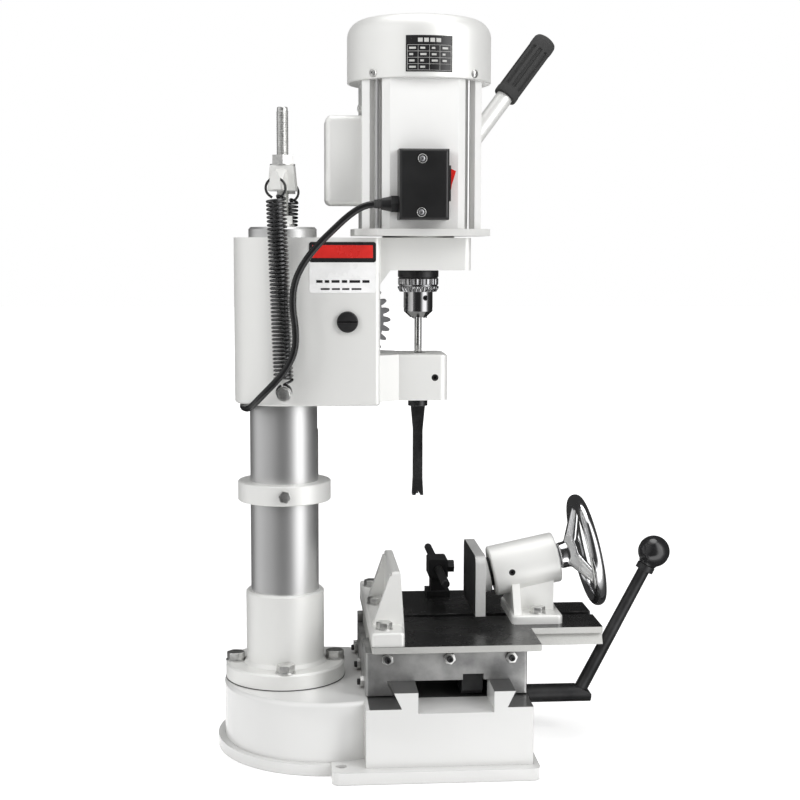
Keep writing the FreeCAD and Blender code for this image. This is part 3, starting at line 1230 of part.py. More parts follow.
def stop_block():
    head = box(STOP_X - 12.5, STOP_X + 12.5, STOP_Y0, STOP_Y1, STOP_Z - 12, STOP_Z + 12.5)
    head = head.makeFillet(3, [e for e in head.Edges if straight_along(e, BACK)])
    neck = box(STOP_X - 9, STOP_X + 9, STOP_Y0 + 6, STOP_Y1 - 4, TABLE_TOP, STOP_Z - 10)
    foot = box(STOP_X - 15, STOP_X + 15, STOP_Y0 + 2, STOP_Y1 - 2, TABLE_TOP, TABLE_TOP + 7)
    rod_hole = bar(STOP_ROD_R + RUN, (STOP_X, STOP_Y0 - 1, STOP_Z), (STOP_X, STOP_Y1 + 1, STOP_Z))
    lock_hole = bar(LOCK_R, (STOP_X, STOP_LOCK_Y, STOP_Z), (STOP_X + 20, STOP_LOCK_Y, STOP_Z))
    return cut(fused(head, neck, foot), rod_hole, lock_hole)


def stop_rod():
    body = bar(STOP_ROD_R, (STOP_X, STOP_ROD_Y0, STOP_Z), (STOP_X, STOP_ROD_Y1, STOP_Z))
    return body.makeChamfer(1, [e for e in body.Edges if isinstance(e.Curve, Part.Circle)])


# ---- supply lead ----
LEAD_ROUTE = [
    (GLAND_X, GLAND_Y, GLAND_Z), (98, -79.5, 636), (85.5, -80, 632), (71, -81, 622), (55, -82, 607),
    (38, -83, 590.5), (23, -84.5, 572), (12, -86.5, 550), (9.5, -88, 524), (13.5, -89, 498), (13, -89, 474),
    (3, -88.5, 453), (-12, -87, 436), (-28, -75, 420.5), (-41, -54, 407), (-47, -33, 402), (-48, -10, 402),
    (-46, 14, 402), (-38, 34, 400), (-26, 50, 393), (-16, 62, 376), (-10, 70, 348), (-8, 74, 316),
    (-7, 76, 280), (-6, 77, 240), (-5, 79, 196), (-3, 85, 158), (2, 98, 126), (10, 118, 104), (18, 138, 84),
    (25, 151, 58), (34, 162, 32), (52, 172, 13), (78, 176, 5), (110, 177.5, 4.4), (140, 176.4, 4.2),
    (COIL_X - 8, COIL_Y - COIL_R + LEAD_R, LEAD_R),
]


def lead_tube():
    """Round tube along straight runs joined by tangent arcs."""
    points = [Vector(*p) for p in LEAD_ROUTE]
    edges = []
    start = points[0]
    for before, corner, after in zip(points, points[1:], points[2:]):
        into = (corner - before).normalize()
        out = (after - corner).normalize()
        half = into.getAngle(out) / 2
        reach = 0.45 * min((corner - before).Length, (after - corner).Length)
        radius = reach / math.tan(half)
        a, b = corner - into * reach, corner + out * reach
        inward = (out - into).normalize()
        middle = corner + inward * (radius / math.cos(half) - radius)
        edges += [Part.LineSegment(start, a).toShape(), Part.Arc(a, middle, b).toShape()]
        start = b
    edges.append(Part.LineSegment(start, points[-1]).toShape())
    path = Part.Wire(edges)
    ends = (points[1] - points[0]).normalize()
    ring_wire = Part.Wire([Part.Circle(points[0], ends, LEAD_R).toShape()])
    return path.makePipeShell([ring_wire], True, True)


def lead_coil():
    return ring(COIL_R, COIL_R - 4 * LEAD_R, (COIL_X, COIL_Y, 0), (COIL_X, COIL_Y, COIL_HIGH))


def plug():
    """Two-pin plug lying on the coil."""
    z = COIL_HIGH
    x = COIL_X + COIL_R - 2 * LEAD_R
    body = box(x - 15, x + 15, COIL_Y - 18, COIL_Y + 22, z, z + 22)
    body = body.makeFillet(5, [e for e in body.Edges if straight_along(e, BACK) and e.BoundBox.ZMin > z + 1])
    pins = [box(x + s * 8 - 3, x + s * 8 + 3, COIL_Y + 22, COIL_Y + 40, z + 10, z + 12) for s in (-1, 1)]
    return fused(body, *pins)


def main():
    save("base_casting", base_casting())
    save("pinion_bushes", *pinion_bushes())
    save("column_flange", column_flange())
    save("column_bolts", *column_bolts())
    save("column", column())
    save("column_rack", column_rack())
    save("tension_rod", tension_rod())
    save("tension_nuts", *tension_nuts())
    save("spring_yoke", spring_yoke())
    save("balance_springs", balance_spring(-1), balance_spring(1))
    save("depth_collar", depth_collar())
    save("collar_bolt", collar_bolt())
    save("head_casting", head_casting())
    save("spring_bolts", *spring_bolts())
    save("nose_screw", nose_screw())
    save("hollow_chisel", hollow_chisel())
    save("feed_gear", feed_gear())
    save("feed_shaft", feed_shaft())
    save("lever_hub", lever_hub())
    save("lever_arm", lever_arm())
    save("lever_grip", lever_grip())
    save("motor_plate", motor_plate())
    save("motor_housing", motor_housing())
    save("motor_bearings", *motor_bearings())
    save("motor_stator", motor_stator())
    save("motor_rotor", motor_rotor())
    save("cooling_fan", cooling_fan())
    save("fan_cover", fan_cover())
    save("motor_tie_rods", *motor_tie_rods())
    save("capacitor_box", capacitor_box())
    save("capacitor", capacitor())
    save("switch_box", switch_box())
    save("switch_rocker", switch_rocker())
    save("cable_gland", cable_gland())
    save("case_screws", *case_screws())
    save("chuck_body", chuck_body())
    save("chuck_jaws", *chuck_jaws())
    save("chuck_sleeve", chuck_sleeve())
    save("auger_bit", auger_bit())
    save("saddle", saddle())
    save("gib_strips", *gib_strips())
    save("gib_screws", *gib_screws())
    save("saddle_rack", saddle_rack())
    save("pinion_shaft", pinion_shaft())
    save("feed_arm", feed_arm())
    save("arm_ball", arm_ball())
    save("table_plate", table_plate())
    save("clamp_bolts", *clamp_bolts())
    save("fence", fence())
    save("vise_body", vise_body())
    save("vise_quill", vise_quill())
    save("vise_jaw", vise_jaw())
    save("vise_screw", vise_screw())
    save("handwheel", handwheel())
    save("lock_screws", *lock_screws())
    save("stop_block", stop_block())
    save("stop_rod", stop_rod())
    save("power_lead", lead_tube())
    save("lead_coil", lead_coil())
    save("plug", plug())


main()
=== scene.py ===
import math

import bmesh
import bpy
from bpy.props import FloatProperty, FloatVectorProperty, IntProperty, PointerProperty
from mathutils import Matrix, Vector


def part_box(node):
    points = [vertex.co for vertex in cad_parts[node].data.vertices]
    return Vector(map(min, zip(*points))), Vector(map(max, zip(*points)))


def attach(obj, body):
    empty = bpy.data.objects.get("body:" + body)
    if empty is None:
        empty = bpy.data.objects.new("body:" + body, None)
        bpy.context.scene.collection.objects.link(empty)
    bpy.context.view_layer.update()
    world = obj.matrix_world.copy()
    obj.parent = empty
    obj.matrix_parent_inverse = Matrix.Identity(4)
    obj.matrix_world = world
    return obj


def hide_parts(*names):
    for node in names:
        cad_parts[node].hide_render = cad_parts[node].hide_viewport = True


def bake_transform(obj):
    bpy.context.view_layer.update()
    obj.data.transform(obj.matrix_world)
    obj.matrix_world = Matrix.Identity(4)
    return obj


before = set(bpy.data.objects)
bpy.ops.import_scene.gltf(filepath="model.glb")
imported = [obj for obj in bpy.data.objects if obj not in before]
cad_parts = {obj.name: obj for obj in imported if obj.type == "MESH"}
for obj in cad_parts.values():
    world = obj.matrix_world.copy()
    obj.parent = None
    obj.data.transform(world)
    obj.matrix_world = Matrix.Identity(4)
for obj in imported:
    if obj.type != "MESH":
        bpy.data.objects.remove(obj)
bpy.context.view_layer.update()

bl_info = {
    "name": "Benchtop Mortiser",
    "version": (1, 0, 0),
    "blender": (4, 5, 0),
    "location": "View3D > Sidebar > Mortiser",
    "description": "Dresses the packed benchtop mortiser with its springs, lead, screws and finishes",
    "category": "Object",
}

MM = 0.001
FULL = 2 * math.pi
UP = Vector((0, 0, 1))
RIGHT = Vector((1, 0, 0))
BACK = Vector((0, 1, 0))
STILL = Matrix.Identity(4)

# ---- places in the shared frame ----
COLUMN_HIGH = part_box("column")[1]
HEAD_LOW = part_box("head_casting")[0]
TABLE_LOW, TABLE_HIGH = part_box("table_plate")
COVER_LOW, COVER_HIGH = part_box("fan_cover")
ROD_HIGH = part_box("tension_rod")[1]
SWITCH_LOW, SWITCH_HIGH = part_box("switch_box")
BASE_TOP = 0.0802
SPINDLE = Vector((0.1575, 0, 0))
GEAR_Z = 0.504
LEVER_FOOT = Vector((0.072, 0.080, GEAR_Z))
LEVER_RISE = math.radians(52.6)
LEVER_SPLAY = math.radians(12.6)
VISE_TILT = math.radians(12)
WHEEL_CENTRE = Vector((0.36818, 0.030, 0.21975))
WHEEL_REACH = 0.0615
FLANGE_RISE, BOLT_CIRCLE = 0.0188, 0.0588

# The balance springs: half their distance, the height of their eyes, their outer radius and their lean.
SPRING_SIDE, EYE_LOW, EYE_HIGH = 0.070, 0.4262, 0.6533
SPRING_RADIUS = 0.0115
SPRING_LEAN = math.radians(6.5)

# The camera: its place, then its turns in degrees about the upright, its own X and its line of sight.
CAMERA_PLACE = Vector((-0.0008, -1.7247, 0.5923))
CAMERA_TURNS = ((-4.55, "Z"), (90 - 6.055, "X"), (0.13, "Z"))

# The supply lead, from its gland over the spring, behind the column and down to the bench.
LEAD_ROUTE = [
    (109, -79.5, 636), (98, -79.5, 636), (85.5, -80, 632), (71, -81, 622), (55, -82, 607), (38, -83, 590.5),
    (23, -84.5, 572), (12, -86.5, 550), (9.5, -88, 524), (13.5, -89, 498), (13, -89, 474), (3, -88.5, 453),
    (-12, -87, 436), (-27, -76, 420), (-38, -56, 406.5), (-45, -35, 404), (-48, -10, 404.1),
    (-46, 14, 404.1), (-39, 35, 404), (-34, 52, 403), (-20, 63, 390), (-13, 67, 368), (-10, 70, 346),
    (-8, 74, 316), (-7, 76, 280), (-6, 77, 240), (-5, 79, 196), (-3, 85, 158), (2, 98, 126), (10, 118, 104),
    (18, 138, 84), (25, 151, 58), (34, 162, 32), (52, 172, 13), (78, 176, 5), (110, 177.5, 4.4),
    (140, 176.4, 4.2),
]
COIL_CENTRE = Vector((172, 226, 0))
PLUG_TAIL = [(181, 176.5, 17.5), (194, 179, 20.5), (205, 186.5, 23.5), (212, 196.5, 26), (214, 205, 27),
             (214, 214, 27)]
PLUG_AT = Vector((0.214, 0.226, 0.027))

# Places round the ring of cloths (a quarter is the camera's side) and how bright each is.
CLOTHS = [(0.0, 0.40), (0.072, 0.20), (0.144, 0.11), (0.200, 0.02), (0.300, 0.02), (0.325, 0.14),
          (0.350, 0.60), (0.370, 1.0), (0.430, 1.0), (0.448, 0.35), (0.480, 0.05), (0.530, 0.02),
          (0.860, 0.02), (0.910, 0.05), (0.944, 0.40), (1.0, 0.40)]


def length(name, text, value, low, high):
    return FloatProperty(name=name, description=text, default=value, min=low, max=high, unit="LENGTH")


def count(name, text, value, low, high):
    return IntProperty(name=name, description=text, default=value, min=low, max=high)


def power(name, text, value):
    return FloatProperty(name=name, description=text, default=value, min=0, max=400, unit="POWER")


def tint(name, text, value):
    return FloatVectorProperty(name=name, description=text, default=value, min=0, max=1, size=3,
                               subtype="COLOR")


class MortiserSettings(bpy.types.PropertyGroup):
    lead_diameter: length("Lead diameter", "Outside diameter of the supply lead", 0.008, 0.004, 0.012)
    lead_length: length("Lead length", "Length of the supply lead with its coil", 1.8, 1.0, 3.0)
    spring_wire: length("Spring wire", "Wire diameter of the balance springs", 0.0030, 0.002, 0.0036)
    spring_pitch: length("Spring pitch", "Distance between two turns of a spring", 0.0043, 0.003, 0.008)
    thread_pitch: length("Rod thread pitch", "Pitch of the thread on the tension rod", 0.002, 0.001, 0.003)
    grip_flutes: count("Grip flutes", "Grooves along the lever grip", 10, 6, 16)
    sleeve_flutes: count("Sleeve flutes", "Grooves round the chuck sleeve", 30, 16, 40)
    cover_high: length("Cover height", "Height of the motor cover", 0.0712, 0.05, 0.08)
    cover_bend: length("Cover bend", "Radius between the cover's wall and its top", 0.0205, 0.01, 0.03)
    enamel: tint("Enamel", "Colour of the painted castings", (0.80, 0.80, 0.79))
    band: tint("Head band", "Colour of the strip on the head label", (0.72, 0.025, 0.02))
    key_light: power("Key light", "Power of the main soft light", 35)
    fill_light: power("Fill light", "Power of the filling light", 36)
    top_light: power("Top light", "Power of the light from above", 22)
    room_light: FloatProperty(name="Room light", description="Strength of the light from all round",
                              default=0.38, min=0, max=2)


def settings():
    return bpy.context.scene.mortiser


# ---- mesh helpers ----
def lift(points):
    return [Vector(p) * MM for p in points]


def aimed(direction, place):
    """Matrix that takes local +Z to direction and the origin to place."""
    turn = Vector(direction).normalized().to_track_quat("Z", "Y").to_matrix().to_4x4()
    return Matrix.Translation(place) @ turn


def shown(name, data):
    """New object in the scene."""
    made = bpy.data.objects.new(name, data)
    bpy.context.scene.collection.objects.link(made)
    return made


def baked(holder):
    """Mesh of an object as Blender evaluates it; the object itself is removed."""
    bpy.context.view_layer.update()
    mesh = bpy.data.meshes.new_from_object(holder.evaluated_get(bpy.context.evaluated_depsgraph_get()))
    bpy.data.objects.remove(holder)
    return mesh


def mesh_from(bm, name):
    mesh = bpy.data.meshes.new(name)
    bm.to_mesh(mesh)
    bm.free()
    return mesh


def piece_from(bm, name, finish, sharp=32, merge=1e-6):
    if merge:
        bmesh.ops.remove_doubles(bm, verts=bm.verts, dist=merge)
    bmesh.ops.recalc_face_normals(bm, faces=bm.faces)
    return piece_of(mesh_from(bm, name), name, finish, sharp)


def piece_of(mesh, name, finish, sharp=32):
    mesh.name = name
    mesh.materials.clear()
    mesh.materials.append(bpy.data.materials[finish])
    mesh.shade_smooth()
    mesh.set_sharp_from_angle(angle=math.radians(sharp))
    return shown(name, mesh)


def carried(piece, body, slot, *nodes):
    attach(piece, body)
    if nodes:
        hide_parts(*nodes)
    return piece


def turned(bm, profile, steps=48, matrix=STILL):
    """Spins an open outline of (radius, height) points about local Z in an empty mesh."""
    verts = [bm.verts.new((r, 0, z)) for r, z in profile]
    edges = [bm.edges.new(pair) for pair in zip(verts, verts[1:])]
    bmesh.ops.spin(bm, geom=verts + edges, cent=(0, 0, 0), axis=UP, angle=FULL, steps=steps, use_merge=True)
    bmesh.ops.remove_doubles(bm, verts=bm.verts, dist=1e-7)
    bmesh.ops.transform(bm, matrix=matrix, verts=bm.verts)


def wound(bm, ring, rise, turns, steps):
    """Carries a ring of vertices up a helix about local Z and closes its ends."""
    edges = list({e for v in ring for e in v.link_edges})
    bmesh.ops.spin(bm, geom=ring + edges, cent=(0, 0, 0), axis=UP, dvec=(0, 0, rise), angle=FULL * turns,
                   steps=steps)
    bmesh.ops.holes_fill(bm, edges=[e for e in bm.edges if e.is_boundary], sides=len(ring))


def rounded(bm, geom, offset, segments, profile=0.5, affect="EDGES"):
    bmesh.ops.bevel(bm, geom=geom, offset=offset, segments=segments, profile=profile, affect=affect,
                    material=-1)


def poured(bm, mesh):
    """Adds a mesh to bm and removes it from the file."""
    bm.from_mesh(mesh)
    bpy.data.meshes.remove(mesh)


def added(bm, matrix, build):
    """Runs build on a mesh of its own and adds the result, placed by matrix."""
    part = bmesh.new()
    build(part)
    bmesh.ops.remove_doubles(part, verts=part.verts, dist=1e-7)
    bmesh.ops.recalc_face_normals(part, faces=part.faces)
    bmesh.ops.transform(part, matrix=matrix, verts=part.verts)
    poured(bm, mesh_from(part, "held"))


def box_shape(bm, low, high, round_off=0.0, segments=3):
    size = [high[i] - low[i] for i in range(3)]
    middle = [(high[i] + low[i]) / 2 for i in range(3)]
    made = bmesh.ops.create_cube(bm, size=1)["verts"]
    bmesh.ops.scale(bm, vec=size, verts=made)
    bmesh.ops.translate(bm, vec=middle, verts=made)
    if round_off:
        edges = list({e for v in made for e in v.link_edges})
        rounded(bm, edges, round_off, segments)


def hexagon_head(bm, flats, high, chamfer=0.12):
    """Hexagon head standing on local Z 0, its top corners turned off."""
    corner = flats / math.sqrt(3)
    ring = bmesh.ops.create_circle(bm, segments=6, radius=corner)["verts"]
    face = bm.faces.new(ring)
    top = bmesh.ops.extrude_face_region(bm, geom=[face])["geom"]
    top_verts = [g for g in top if isinstance(g, bmesh.types.BMVert)]
    bmesh.ops.translate(bm, vec=(0, 0, high), verts=top_verts)
    rounded(bm, top_verts, flats * chamfer, 2, profile=0.6, affect="VERTICES")
    rim = [e for e in bm.edges if all(abs(v.co.z - high) < 1e-6 for v in e.verts)]
    rounded(bm, rim, high * 0.07, 2)


def washer_shape(bm, r_out, r_in, thick):
    turned(bm, [(r_in, 0), (r_out - thick * 0.2, 0), (r_out, thick * 0.2), (r_out, thick * 0.8),
                (r_out - thick * 0.2, thick), (r_in, thick), (r_in, 0)], steps=40)


def mesh_of_curve(curve):
    return baked(shown("holder", curve))


def smooth_line(name, points, radius=0.0, resolution=6, sides=2):
    """Open NURBS line through the given control points, as a tube where radius is set."""
    curve = bpy.data.curves.new(name, "CURVE")
    curve.dimensions = "3D"
    spline = curve.splines.new("NURBS")
    spline.points.add(len(points) - 1)
    for point, place in zip(spline.points, points):
        point.co = (*place, 1)
    spline.order_u = 3
    spline.use_endpoint_u = True
    spline.resolution_u = resolution
    curve.bevel_depth = radius
    curve.bevel_resolution = sides
    curve.use_fill_caps = radius > 0
    return curve


# ---- effect groups ----
def group_sockets(group, inputs, outputs):
    for name, kind, value in inputs:
        socket = group.interface.new_socket(name=name, in_out="INPUT", socket_type="NodeSocket" + kind)
        socket.default_value = value
    for name, kind in outputs:
        group.interface.new_socket(name=name, in_out="OUTPUT", socket_type="NodeSocket" + kind)


def node(tree, kind, **values):
    made = tree.nodes.new(kind)
    for key, value in values.items():
        if key.startswith("in_"):
            made.inputs[key[3:].replace("_", " ")].default_value = value
        else:
            setattr(made, key, value)
    return made


def mathed(tree, operation, a, b=0.0, clamp=False):
    made = tree.nodes.new("ShaderNodeMath")
    made.operation = operation
    made.use_clamp = clamp
    for socket, value in zip(made.inputs, (a, b)):
        if isinstance(value, (int, float)):
            socket.default_value = value
        else:
            tree.links.new(value, socket)
    return made.outputs[0]


def mixed(tree, factor, a, b):
    made = tree.nodes.new("ShaderNodeMix")
    made.data_type = "RGBA"
    for socket, value in ((made.inputs[0], factor), (made.inputs[6], a), (made.inputs[7], b)):
        if isinstance(value, (int, float)):
            socket.default_value = value
        elif isinstance(value, (tuple, list)):
            socket.default_value = (*value, 1) if len(value) == 3 else value
        else:
            tree.links.new(value, socket)
    return made.outputs[2]


def ranged(tree, value, low, high, to_low=0.0, to_high=1.0):
    made = node(tree, "ShaderNodeMapRange", in_From_Min=low, in_From_Max=high, in_To_Min=to_low,
                in_To_Max=to_high)
    tree.links.new(value, made.inputs["Value"])
    return made.outputs[0]


def seen_rays(tree):
    """One where a ray comes from the camera, a reflection or a clear piece, nought elsewhere."""
    ray = tree.nodes.new("ShaderNodeLightPath")
    seen = mathed(tree, "MAXIMUM", ray.outputs["Is Camera Ray"], ray.outputs["Is Glossy Ray"])
    return mathed(tree, "MAXIMUM", seen, ray.outputs["Is Transmission Ray"])


def toned(color, share, more=0.0):
    return tuple(min(1, c * share + more) for c in color)


def patches_group():
    """Broad uneven tone and a fine grain, both from the piece's own coordinates."""
    group = bpy.data.node_groups.new("patches_and_grain", "ShaderNodeTree")
    group_sockets(group, (("Patch Scale", "Float", 12), ("Grain Scale", "Float", 900),
                          ("Stretch", "Vector", (1, 1, 1))), (("Patches", "Float"), ("Grain", "Float")))
    ins, outs = group.nodes.new("NodeGroupInput"), group.nodes.new("NodeGroupOutput")
    place = group.nodes.new("ShaderNodeTexCoord")
    stretch = node(group, "ShaderNodeVectorMath", operation="MULTIPLY")
    group.links.new(place.outputs["Object"], stretch.inputs[0])
    group.links.new(ins.outputs["Stretch"], stretch.inputs[1])
    broad = node(group, "ShaderNodeTexNoise", in_Detail=5.0, in_Roughness=0.55)
    fine = node(group, "ShaderNodeTexNoise", in_Detail=3.0, in_Roughness=0.6)
    group.links.new(place.outputs["Object"], broad.inputs["Vector"])
    group.links.new(stretch.outputs[0], fine.inputs["Vector"])
    group.links.new(ins.outputs["Patch Scale"], broad.inputs["Scale"])
    group.links.new(ins.outputs["Grain Scale"], fine.inputs["Scale"])
    group.links.new(ranged(group, broad.outputs[0], 0.32, 0.68), outs.inputs["Patches"])
    group.links.new(ranged(group, fine.outputs[0], 0.28, 0.72), outs.inputs["Grain"])
    return group


def wear_and_shade_group():
    """Edge wear, and painted shade that darkens recesses by ambient occlusion, with a normal that rounds the
    small edges.
    """
    group = bpy.data.node_groups.new("edge_wear_and_painted_shade", "ShaderNodeTree")
    group_sockets(group, (("Edge Size", "Float", 0.0012), ("Hollow Size", "Float", 0.02)),
                  (("Edges", "Float"), ("Painted Shade", "Float"), ("Normal", "Vector")))
    ins, outs = group.nodes.new("NodeGroupInput"), group.nodes.new("NodeGroupOutput")
    soft = node(group, "ShaderNodeBevel", samples=4)
    group.links.new(ins.outputs["Edge Size"], soft.inputs["Radius"])
    flat = group.nodes.new("ShaderNodeNewGeometry")
    dot = node(group, "ShaderNodeVectorMath", operation="DOT_PRODUCT")
    group.links.new(soft.outputs[0], dot.inputs[0])
    group.links.new(flat.outputs["Normal"], dot.inputs[1])
    scuff = node(group, "ShaderNodeTexNoise", in_Scale=140.0, in_Detail=4.0)
    place = group.nodes.new("ShaderNodeTexCoord")
    group.links.new(place.outputs["Object"], scuff.inputs["Vector"])
    edge = ranged(group, dot.outputs["Value"], 0.99, 0.90)
    edge = mathed(group, "MULTIPLY", edge, ranged(group, scuff.outputs[0], 0.40, 0.62))
    group.links.new(edge, outs.inputs["Edges"])
    # Painted shade: ambient occlusion finds the recesses whose colour is darkened.
    hollow = node(group, "ShaderNodeAmbientOcclusion", samples=4)
    group.links.new(ins.outputs["Hollow Size"], hollow.inputs["Distance"])
    group.links.new(ranged(group, hollow.outputs["AO"], 0.75, 0.15), outs.inputs["Painted Shade"])
    group.links.new(soft.outputs[0], outs.inputs["Normal"])
    return group


class Finish:
    """A material under way: the shader, the two effect groups and short ways to use them."""

    def __init__(self, name, patch=12.0, grain=900.0, stretch=(1, 1, 1), edge=0.0012, hollow=0.02, wear=True):
        self.material = bpy.data.materials.new(name)
        self.material.use_nodes = True
        self.tree = self.material.node_tree
        self.shader = self.tree.nodes["Principled BSDF"]
        spots = self.tree.nodes.new("ShaderNodeGroup")
        spots.node_tree = bpy.data.node_groups["patches_and_grain"]
        spots.inputs["Patch Scale"].default_value = patch
        spots.inputs["Grain Scale"].default_value = grain
        spots.inputs["Stretch"].default_value = stretch
        self.patches, self.grain = spots.outputs["Patches"], spots.outputs["Grain"]
        self.edges = self.painted_shade = self.round = None
        if wear:
            # This group gives both edge wear and the painted shade in recesses.
            used = self.tree.nodes.new("ShaderNodeGroup")
            used.node_tree = bpy.data.node_groups["edge_wear_and_painted_shade"]
            used.inputs["Edge Size"].default_value = edge
            used.inputs["Hollow Size"].default_value = hollow
            self.edges, self.painted_shade = used.outputs["Edges"], used.outputs["Painted Shade"]
            self.round = used.outputs["Normal"]

    def set(self, **values):
        for key, value in values.items():
            socket = self.shader.inputs[key.replace("_", " ")]
            if isinstance(value, bpy.types.NodeSocket):
                self.tree.links.new(value, socket)
            elif isinstance(value, (tuple, list)) and socket.type == "RGBA":
                socket.default_value = (*value[:3], 1)
            else:
                socket.default_value = value
        return self

    def bump(self, height, distance, strength=1.0):
        made = node(self.tree, "ShaderNodeBump", in_Distance=distance, in_Strength=strength)
        self.tree.links.new(height, made.inputs["Height"])
        if self.round is not None:
            self.tree.links.new(self.round, made.inputs["Normal"])
        self.tree.links.new(made.outputs[0], self.shader.inputs["Normal"])
        return self

    def over(self, shade, mask, share, color):
        """The shade with a colour laid on it by a share of the mask."""
        return mixed(self.tree, mathed(self.tree, "MULTIPLY", mask, share), shade, color)

    def along(self, output, axis):
        place = self.tree.nodes.new("ShaderNodeTexCoord")
        split = self.tree.nodes.new("ShaderNodeSeparateXYZ")
        self.tree.links.new(place.outputs[output], split.inputs[0])
        return split.outputs[axis]

    def coordinate(self, axis):
        return self.along("Object", axis)

    def facing(self, axis):
        return self.along("Normal", axis)


def enamel_finish(name, color, bare_and_shaded=None):
    """Gloss enamel over cast iron; an optional mask function gives the unpainted ground faces and the painted
    shade, which both take a dark tone.
    """
    f = Finish(name, patch=7.0, grain=260.0, edge=0.0016, hollow=0.03)
    shade = mixed(f.tree, f.patches, toned(color, 0.98), color)
    # Painted shade: recesses darkened toward warm grey.
    shade = f.over(shade, f.painted_shade, 0.45, (0.42, 0.41, 0.39))
    shade = f.over(shade, f.edges, 0.12, (0.50, 0.49, 0.47))
    gloss = ranged(f.tree, f.patches, 0, 1, 0.20, 0.26)
    if bare_and_shaded:
        # The mask holds ground faces and painted shade; both take the dark tone.
        mask = bare_and_shaded(f)
        bare_and_shade_tone = mixed(f.tree, f.patches, (0.06, 0.06, 0.06), (0.13, 0.13, 0.13))
        shade = mixed(f.tree, mask, shade, bare_and_shade_tone)
        gloss = mathed(f.tree, "ADD", gloss, mathed(f.tree, "MULTIPLY", mask, 0.12))
        f.set(Metallic=mathed(f.tree, "MULTIPLY", mask, 0.6))
    f.set(Base_Color=shade, Roughness=gloss, Coat_Weight=0.4, Coat_Roughness=0.06)
    f.bump(f.grain, 0.00005, 0.25)
    return f.material


def metal_finish(name, dark, light, rough, metallic=1.0, patch=18.0, grain=700.0, stretch=(1, 1, 1),
                 depth=0.00003, strength=0.25, edge=0.0010, wear=0.3, edge_color=(0.75, 0.75, 0.75)):
    """Metal between a dark and a light tone, its grain drawn out along stretch."""
    f = Finish(name, patch=patch, grain=grain, stretch=stretch, edge=edge, hollow=0.008)
    shade = mixed(f.tree, f.patches, dark, light)
    # Painted shade: recesses darkened toward a deeper tone of the metal.
    shade = f.over(shade, f.painted_shade, 0.5, toned(dark, 0.3))
    shade = f.over(shade, f.edges, wear, edge_color)
    f.set(Base_Color=shade, Metallic=metallic, Roughness=ranged(f.tree, f.grain, 0, 1, rough[0], rough[1]))
    f.bump(f.grain, depth, strength)
    return f.material


def plastic_finish(name, color, rough, grain=900.0, depth=0.00006, strength=0.35, coat=0.0, edge_wear_and_highlight=0.25,
                   pale_edge_and_highlight=0.02):
    """Moulded plastic or rubber; two shares say how strong and how pale its edges are: edge wear on most
    pieces, and on black rubber a painted highlight along the ridges.
    """
    f = Finish(name, patch=22.0, grain=grain, edge=0.0008, hollow=0.006)
    shade = mixed(f.tree, f.patches, toned(color, 0.82), toned(color, 1.15))
    shade = f.over(shade, f.edges, edge_wear_and_highlight, toned(color, 1.8, pale_edge_and_highlight))
    f.set(Base_Color=shade, Roughness=ranged(f.tree, f.patches, 0, 1, rough[0], rough[1]), Coat_Weight=coat)
    f.bump(f.grain, depth, strength)
    return f.material


def between(f, value, low, high):
    above = mathed(f.tree, "GREATER_THAN", value, low)
    below = mathed(f.tree, "LESS_THAN", value, high)
    return mathed(f.tree, "MULTIPLY", above, below)


def both(f, *masks):
    made = masks[0]
    for mask in masks[1:]:
        made = mathed(f.tree, "MULTIPLY", made, mask)
    return made


def base_bare_and_shaded(f):
    """Dark faces of the base casting: the unpainted rail tops, and painted shade over the interior of the way
    between them, which the saddle shades.
    """
    x, y, z = (f.coordinate(axis) for axis in "XYZ")
    level = mathed(f.tree, "GREATER_THAN", f.facing("Z"), 0.9)
    tops = both(f, level, mathed(f.tree, "GREATER_THAN", z, BASE_TOP - 0.0008),
                mathed(f.tree, "GREATER_THAN", x, 0.092))
    # Painted shade: the interior of the way under the saddle is laid dark.
    shaded_inside = both(f, between(f, x, 0.145, 0.232), between(f, y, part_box("saddle")[0].y + 0.012, 0.20),
                  mathed(f.tree, "GREATER_THAN", z, BASE_TOP - 0.0062))
    return mathed(f.tree, "MAXIMUM", tops, shaded_inside)


def table_machined(f):
    """Dark faces of the table: its top and the groove for the vise key."""
    groove = both(f, between(f, f.coordinate("Y"), 0.0225, 0.0375),
                  between(f, f.coordinate("X"), TABLE_LOW.x + 0.0005, TABLE_HIGH.x - 0.0005))
    return mathed(f.tree, "MAXIMUM", mathed(f.tree, "GREATER_THAN", f.facing("Z"), 0.9), groove)


def two_tone_iron(name, mask_of, dark, light, rough_dark, rough_light):
    """Cast iron whose tooled faces are dark and oiled and whose sides are pale and rough."""
    f = Finish(name, patch=26.0, grain=1400.0, edge=0.0008, hollow=0.01)
    mask = mask_of(f)
    sooty = mixed(f.tree, f.patches, toned(dark, 0.72), toned(dark, 1.2))
    chalky = mixed(f.tree, f.grain, toned(light, 0.78), light)
    shade = mixed(f.tree, mask, chalky, sooty)
    shade = f.over(shade, f.edges, 0.35, (0.6, 0.6, 0.6))
    gloss = mixed(f.tree, mask, (rough_light,) * 3, (rough_dark,) * 3)
    gloss = mathed(f.tree, "ADD", gloss, ranged(f.tree, f.patches, 0, 1, -0.04, 0.05))
    f.set(Base_Color=shade, Metallic=0.55, Roughness=gloss)
    f.bump(f.grain, 0.00008, 0.35)
    return f.material


